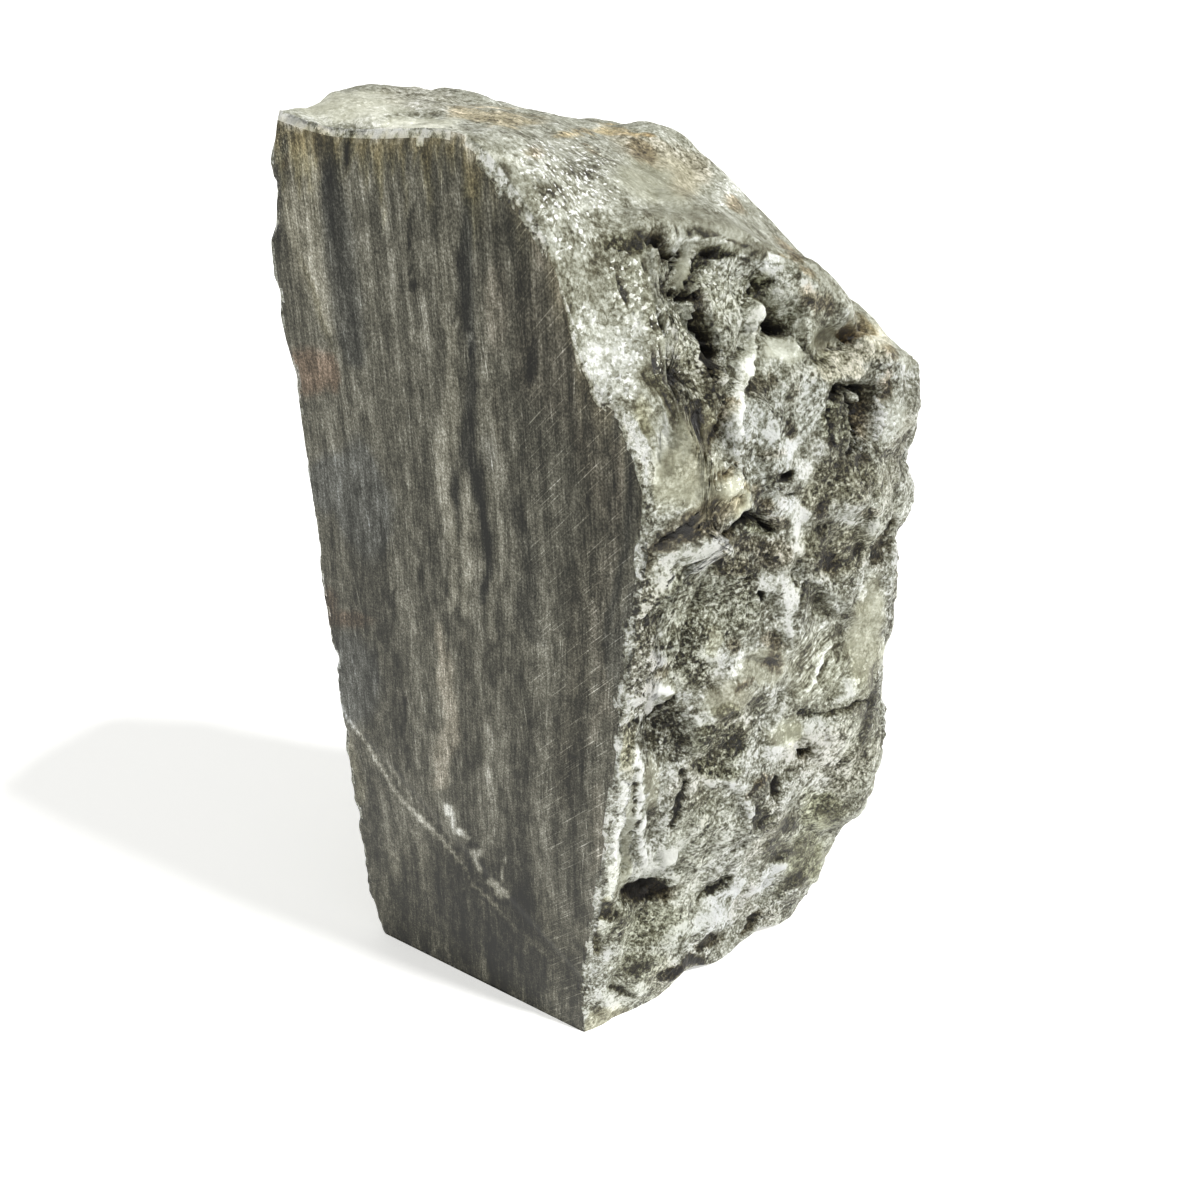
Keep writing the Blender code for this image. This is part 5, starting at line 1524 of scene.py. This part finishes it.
@dataclass(frozen=True)
class BrokenAlabaster:
    """Broken alabaster: massive gypsum, split and bruised, so its crystals glint, partly by painted glints,
    and its bruises are white, with olive and brown in its hollows, which painted shade darkens further."""
    level: float = 0.575
    ramp: Ramp = (
        (0.0, "#110e06"), (0.2, "#2c2816"), (0.36, "#56523d"), (0.5, "#838370"), (0.62, "#a7a898"),
        (0.76, "#cfd1c5"), (0.92, "#f6f7f2"))
    # raised lightens the crests and darkens the pits: partly bruised white, partly painted highlight and
    # painted shade
    weights: Weights = (("tone", 0.32), ("raised", 0.2), ("olive", -0.05), ("calm", -0.12), ("sugar", 0.03))
    grains: tuple[Grain, ...] = (
        Grain((14.0, 14.0, 20.0), 0.3, 2.0, 0.5), Grain((4.5, 4.5, 6.0), 0.6, 3.0, 0.6, "calm", -0.45),
        Grain((1.1, 1.1, 1.3), 1.2, 2.0, 0.7, "calm", -1.0),
        Grain((1.6, 1.6, 1.9), 0.0, 2.0, 0.8, "grit", 1.3))
    fibre_grain: Grain = Grain((5.0, 1.3, 1.3), 0.0, 2.0, 0.6, "fibre", 1.1)
    facets: Triples = ((0.9, 0.28, -0.22), (2.4, 0.2, -0.17))
    facet_bend: float = 1.8
    facet_bends_per_mm: float = 0.8
    # Painted glints: white specks in the colour of a few crystals, standing in for reflections of the sun
    painted_glint_weight: float = 0.9
    painted_glint_everywhere: float = 0.08
    painted_glint_rarity: float = 9.0
    veins: Triples = (
        (10.0, 26.0, 0.24), (7.0, 24.0, -0.34), (16.0, 34.0, 0.3))
    vein_shift: float = 7.3
    vein_patches: float = 0.45
    vein_patch_gain: float = 9.0
    vein_patch_start: float = -4.2
    vein_calm: float = -0.85
    tints: tuple[Tint, ...] = (
        Tint("olive", 0.95, 0.96, 0.80), Tint("brown", 1.08, 0.90, 0.72), Tint("tan", 1.16, 0.96, 0.68),
        Tint("cream", 1.03, 1.01, 0.91), Tint("cool", 0.985, 1.0, 1.06), Tint("pink", 1.08, 0.94, 0.90))
    crystal_mm: float = 1.1
    crystal_tilt: float = 0.34
    crystal_share: float = 0.25
    crystal_sugar: float = 0.6
    bump_mm: float = 2.6
    bumps_per_mm: float = 0.9
    bump_calm: float = -0.65
    roughness: float = 0.42

    def material(self) -> bpy.types.Material:
        """Makes the material: tone from looks, with painted highlight and shade from the relief, grains,
        fibres, crystals with painted glints, and veins, and a crystalline bump.

        Returns:
            The material, for the stone's first slot.
        """
        material = bpy.data.materials.new("broken_alabaster")
        material.use_nodes = True
        tree = material.node_tree
        shader = tree.nodes["Principled BSDF"]
        place, looks = stone_place(tree), look_sockets(tree, (*LOOKS, "raised"))
        level = grain_total(tree, place, looks, self.level, self.weights, self.grains)
        along = [add_node(tree, "VectorMath", {0: place, 1: axis}, operation="DOT_PRODUCT")
                 for axis in FIBRE_AXES]
        turned = add_node(tree, "CombineXYZ", {k: node.outputs["Value"] for k, node in enumerate(along)})
        fibres = grain_total(tree, turned, looks, 0.0, (), (self.fibre_grain,))
        total = add_node(tree, "Math", {0: level, 1: fibres}, operation="ADD")
        total = add_node(tree, "Math", {0: total, 1: self.crystals(tree, place, looks)}, operation="ADD")
        veined = self.lines(tree, place, looks, total)
        colour = tinted_ramp(tree, veined, looks, self.ramp, self.tints)
        tree.links.new(colour, shader.inputs["Base Color"])
        tree.links.new(self.normal(tree, place, looks).outputs[0], shader.inputs["Normal"])
        shader.inputs["Roughness"].default_value = self.roughness
        shader.inputs["Metallic"].default_value = 0.0
        return material

    def crystals(self, tree: Tree, place: Source, looks: Sources) -> Source:
        """Gives each crystal's own facet its tone, in two sizes of crystal, and adds a few painted glints.

        Args:
            tree: the material's node tree.
            place: source of the place on the stone, in millimetres.
            looks: sockets with the strengths of the looks, by name.

        Returns:
            Source of the tone to add.
        """
        bend = add_node(tree, "TexNoise",
                        {"Vector": place, "Scale": self.facet_bends_per_mm, "Detail": 2.0, "Roughness": 0.6})
        moved = add_node(tree, "VectorMath", {0: bend.outputs["Color"], 1: (self.facet_bend,) * 3, 2: place},
                         operation="MULTIPLY_ADD")
        # how strongly the painted glints show: mostly where the stone is sugary, a little everywhere
        painted_glint_share = add_node(tree, "Math", {0: looks["sugar"], 1: self.painted_glint_weight, 2: self.painted_glint_everywhere},
                         operation="MULTIPLY_ADD")
        total = None
        for size, weight, calm in self.facets:
            cells = add_node(tree, "TexVoronoi", {"Vector": moved, "Scale": 1.0 / size})
            one = add_node(tree, "SeparateColor", {0: cells.outputs["Color"]})
            away = add_node(tree, "Math", {0: one.outputs[0], 1: 0.5}, operation="SUBTRACT")
            share = add_node(tree, "Math", {0: looks["calm"], 1: calm, 2: weight}, operation="MULTIPLY_ADD")
            if total is None:
                # painted glints: the rare crystals whose random value is near 1 turn white in the colour
                bright = add_node(tree, "Math", {0: one.outputs[1], 1: self.painted_glint_rarity}, operation="POWER")
                total = add_node(tree, "Math", {0: bright, 1: painted_glint_share}, operation="MULTIPLY")
            total = add_node(tree, "Math", {0: away, 1: share, 2: total}, operation="MULTIPLY_ADD")
        return total

    def lines(self, tree: Tree, place: Source, looks: Sources, total: Source) -> Source:
        """Adds white veins and dark cracks to a tone: thin lines where a noise passes its middle, shown
        only in patches.

        Args:
            tree: the material's node tree.
            place: source of the place on the stone, in millimetres.
            looks: sockets with the strengths of the looks, by name.
            total: source of the tone so far.

        Returns:
            Source of the tone.
        """
        for k, (size, sharpness, weight) in enumerate(self.veins):
            moved = add_node(tree, "VectorMath",
                             {0: place, 1: (1.0 / size,) * 3, 2: (self.vein_shift * k, 0.0, 0.0)},
                             operation="MULTIPLY_ADD")
            noise = add_node(tree, "TexNoise", {"Vector": moved, "Scale": 1.0, "Detail": 3.0,
                                                "Roughness": 0.6})
            patch = add_node(tree, "TexNoise", {"Vector": moved, "Scale": self.vein_patches, "Detail": 1.0})
            off = add_node(tree, "Math", {0: noise, 1: 0.5}, operation="SUBTRACT")
            gap = add_node(tree, "Math", {0: off}, operation="ABSOLUTE")
            line = add_node(tree, "Math", {0: gap, 1: -sharpness, 2: 1.0}, operation="MULTIPLY_ADD",
                            use_clamp=True)
            there = add_node(tree, "Math", {0: patch, 1: self.vein_patch_gain, 2: self.vein_patch_start},
                             operation="MULTIPLY_ADD", use_clamp=True)
            shown = add_node(tree, "Math", {0: line, 1: weight}, operation="MULTIPLY")
            rough = add_node(tree, "Math", {0: looks["calm"], 1: self.vein_calm, 2: 1.0},
                             operation="MULTIPLY_ADD")
            shown = add_node(tree, "Math", {0: shown, 1: rough}, operation="MULTIPLY")
            total = add_node(tree, "Math", {0: shown, 1: there, 2: total}, operation="MULTIPLY_ADD")
        return total

    def normal(self, tree: Tree, place: Source, looks: Sources) -> Source:
        """Makes small grains stand out, and tilts each crystal its own way where the stone is sugary.

        Args:
            tree: the material's node tree.
            place: source of the place on the stone, in millimetres.
            looks: sockets with the strengths of the looks, by name.

        Returns:
            Source of the surface's direction.
        """
        grain = add_node(tree, "TexNoise",
                         {"Vector": place, "Scale": self.bumps_per_mm, "Detail": 4.0, "Roughness": 0.75})
        strong = add_node(tree, "Math", {0: looks["calm"], 1: self.bump_calm, 2: 1.0},
                          operation="MULTIPLY_ADD")
        bump = add_node(tree, "Bump", {"Height": grain, "Strength": strong, "Distance": self.bump_mm * MM})
        cells = add_node(tree, "TexVoronoi", {"Vector": place, "Scale": 1.0 / self.crystal_mm})
        away = add_node(tree, "VectorMath", {0: cells.outputs["Color"], 1: (0.5, 0.5, 0.5)},
                        operation="SUBTRACT")
        share = add_node(tree, "Math", {0: looks["sugar"], 1: self.crystal_sugar, 2: self.crystal_share},
                         operation="MULTIPLY_ADD")
        tilt = add_node(tree, "Math", {0: share, 1: 2.0 * self.crystal_tilt}, operation="MULTIPLY")
        push = add_node(tree, "VectorMath", {0: away, "Scale": tilt}, operation="SCALE")
        tilted = add_node(tree, "VectorMath", {0: bump, 1: push}, operation="ADD")
        return add_node(tree, "VectorMath", {0: tilted}, operation="NORMALIZE")


@dataclass(frozen=True)
class Scratches:
    """Fine pale scratches that all lean one way: long, thin noise with only its crests kept.

    The lean is in degrees from upright, to the right. Width and length are in millimetres. Start is how
    high on the noise a scratch begins, and gain is how fast it brightens from there.
    """
    lean: float
    width: float
    length: float
    start: float
    gain: float
    look: str = ""

    def added(self, tree: Tree, split: bpy.types.Node, looks: Sources, total: Source) -> Source:
        """Adds the scratches to a place on the tonal scale.

        Args:
            tree: the material's node tree.
            split: node that gives the place's x, y and z.
            looks: sockets with the strengths of the looks, by name.
            total: source of the place on the scale.

        Returns:
            Source of the sum.
        """
        cos, sin = math.cos(math.radians(self.lean)), math.sin(math.radians(self.lean))
        turned = []
        for along_x, along_z, size in ((cos, -sin, self.width), (sin, cos, self.length)):
            part = add_node(tree, "Math", {0: split.outputs[0], 1: along_x / size}, operation="MULTIPLY")
            turned.append(add_node(tree, "Math", {0: split.outputs[2], 1: along_z / size, 2: part},
                                   operation="MULTIPLY_ADD"))
        place = add_node(tree, "CombineXYZ", {0: turned[0], 2: turned[1]})
        noise = add_node(tree, "TexNoise", {"Vector": place, "Scale": 1.0, "Detail": 1.0, "Roughness": 0.5})
        crest = add_node(tree, "Math", {0: noise, 1: self.start}, operation="SUBTRACT", use_clamp=True)
        lit = add_node(tree, "Math", {0: crest, 1: self.gain}, operation="MULTIPLY")
        if self.look:
            lit = add_node(tree, "Math", {0: lit, 1: looks[self.look]}, operation="MULTIPLY")
        return add_node(tree, "Math", {0: lit, 1: total}, operation="ADD")


@dataclass(frozen=True)
class SawnAlabaster:
    """Sawn alabaster: cut by a toothed blade and not polished, so its bedding shows as soft grey veins
    under fine pale scratches."""
    level: float = 0.385
    ramp: Ramp = (
        (0.0, "#161510"), (0.22, "#302f26"), (0.42, "#525045"), (0.55, "#6c6a5d"), (0.72, "#908e82"),
        (0.88, "#bab9af"), (1.0, "#e6e5dc"))
    weights: Weights = (("tone", 0.19),)
    bed_grains: tuple[Grain, ...] = (
        Grain((11.0, 1.0, 110.0), 0.8, 2.0, 0.5), Grain((3.4, 1.0, 45.0), 0.6, 2.0, 0.55),
        Grain((0.8, 1.0, 11.0), 0.6, 2.0, 0.6))
    grains: tuple[Grain, ...] = (
        Grain((4.0, 4.0, 8.0), 0.7, 3.0, 0.7), Grain((0.6, 0.6, 0.8), 1.0, 2.0, 0.7, "grit", 0.5))
    scratches: tuple[Scratches, ...] = (
        Scratches(-6.0, 0.4, 34.0, 0.63, 1.8), Scratches(4.0, 0.36, 22.0, 0.64, 1.8),
        Scratches(42.0, 0.4, 18.0, 0.60, 2.8, "hatched"))
    tints: tuple[Tint, ...] = (
        Tint("olive", 1.0, 0.95, 0.72), Tint("brown", 1.06, 0.92, 0.76), Tint("tan", 1.14, 0.96, 0.70),
        Tint("cream", 1.02, 1.0, 0.94), Tint("cool", 0.93, 0.98, 1.12), Tint("pink", 1.2, 0.93, 0.84))
    roughness: float = 0.45
    shine: float = 0.2

    def material(self) -> bpy.types.Material:
        """Makes the material: tone from looks, grains, the beds that the cut crosses, and scratches.

        Returns:
            The material, for the stone's second slot.
        """
        material = bpy.data.materials.new("sawn_alabaster")
        material.use_nodes = True
        tree = material.node_tree
        shader = tree.nodes["Principled BSDF"]
        place, looks = stone_place(tree), look_sockets(tree, (*LOOKS, "bed", "hatched"))
        split = add_node(tree, "SeparateXYZ", {0: place})
        across = add_node(tree, "CombineXYZ", {0: looks["bed"], 2: split.outputs[2]})
        level = grain_total(tree, place, looks, self.level, self.weights, self.grains)
        beds = grain_total(tree, across, looks, 0.0, (), self.bed_grains)
        total = add_node(tree, "Math", {0: level, 1: beds}, operation="ADD")
        for scratches in self.scratches:
            total = scratches.added(tree, split, looks, total)
        colour = tinted_ramp(tree, total, looks, self.ramp, self.tints)
        tree.links.new(colour, shader.inputs["Base Color"])
        shader.inputs["Roughness"].default_value = self.roughness
        shader.inputs["Specular IOR Level"].default_value = self.shine
        shader.inputs["Metallic"].default_value = 0.0
        return material


@dataclass(frozen=True)
class Studio:
    """Plain pale floor, plain soft light from the upper right, and the photograph's camera."""
    floor_colour: str = "#f2f2f0"
    floor_half: float = 60.0
    floor_glow: float = 0.5
    floor_roughness: float = 0.9
    sun_strength: float = 3.5
    sun_angle_deg: float = 6.0
    sun_from: tuple[float, float, float] = (0.80, 0.12, 1.0)
    sky_colour: str = "#efefee"
    sky_strength: float = 0.62
    nearest_m: float = 0.01

    def floor(self) -> bpy.types.Object:
        """Lays a flat pale floor under the stone, which glows a little so that it stays pale in shade.

        Returns:
            The floor's object.
        """
        half = self.floor_half
        mesh = bpy.data.meshes.new("floor")
        mesh.from_pydata([(-half, -half, 0), (half, -half, 0), (half, half, 0), (-half, half, 0)], [],
                         [(0, 1, 2, 3)])
        floor = bpy.data.objects.new("floor", mesh)
        bpy.context.scene.collection.objects.link(floor)
        material = bpy.data.materials.new("pale_floor")
        material.use_nodes = True
        shader = material.node_tree.nodes["Principled BSDF"]
        shader.inputs["Base Color"].default_value = linear(self.floor_colour)
        shader.inputs["Roughness"].default_value = self.floor_roughness
        shader.inputs["Emission Color"].default_value = linear(self.floor_colour)
        shader.inputs["Emission Strength"].default_value = self.floor_glow
        mesh.materials.append(material)
        return floor

    def lights(self) -> None:
        """A soft sun from the upper right, and an even pale sky."""
        sun = bpy.data.lights.new("soft_key", "SUN")
        sun.energy = self.sun_strength
        sun.angle = math.radians(self.sun_angle_deg)
        lamp = bpy.data.objects.new("soft_key", sun)
        bpy.context.scene.collection.objects.link(lamp)
        x, y, z = self.sun_from
        lamp.rotation_euler = (math.atan2(math.hypot(x, y), z), 0.0, math.atan2(x, -y))
        world = bpy.data.worlds.new("pale_sky")
        bpy.context.scene.world = world
        world.use_nodes = True
        background = world.node_tree.nodes["Background"]
        background.inputs["Color"].default_value = linear(self.sky_colour)
        background.inputs["Strength"].default_value = self.sky_strength

    def camera(self, origin: Place) -> None:
        """Puts the camera where the photograph was taken from.

        Args:
            origin: where the object's origin lies in the stone's own frame, along x and y.
        """
        view = PhotoView()
        data = bpy.data.cameras.new("photo_camera")
        data.lens = view.lens_mm
        data.sensor_width = view.sensor_mm
        data.clip_start = self.nearest_m
        camera = bpy.data.objects.new("photo_camera", data)
        bpy.context.scene.collection.objects.link(camera)
        x, y, z = view.place_mm
        camera.location = ((x - origin[0]) * MM, (y - origin[1]) * MM, z * MM)
        camera.rotation_euler = (math.radians(90.0 - view.tilt_deg), 0.0, math.radians(view.turn_deg))
        bpy.context.scene.camera = camera


def main() -> None:
    logging.basicConfig(level=logging.INFO, format="%(name)s: %(message)s")
    block = AlabasterBlock()
    stone = block.build()
    block.dress(stone)
    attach(stone, "root")
    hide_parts(NODE)
    log.info("stone: %d places, %d cells", len(stone.data.vertices), len(stone.data.polygons))
    studio = Studio()
    studio.floor()
    studio.lights()
    studio.camera((block.origin_x, block.origin_y))
    bpy.context.scene.view_settings.view_transform = "Standard"
    log.info("studio: floor, light and camera")


if __name__ == "__main__":
    main()
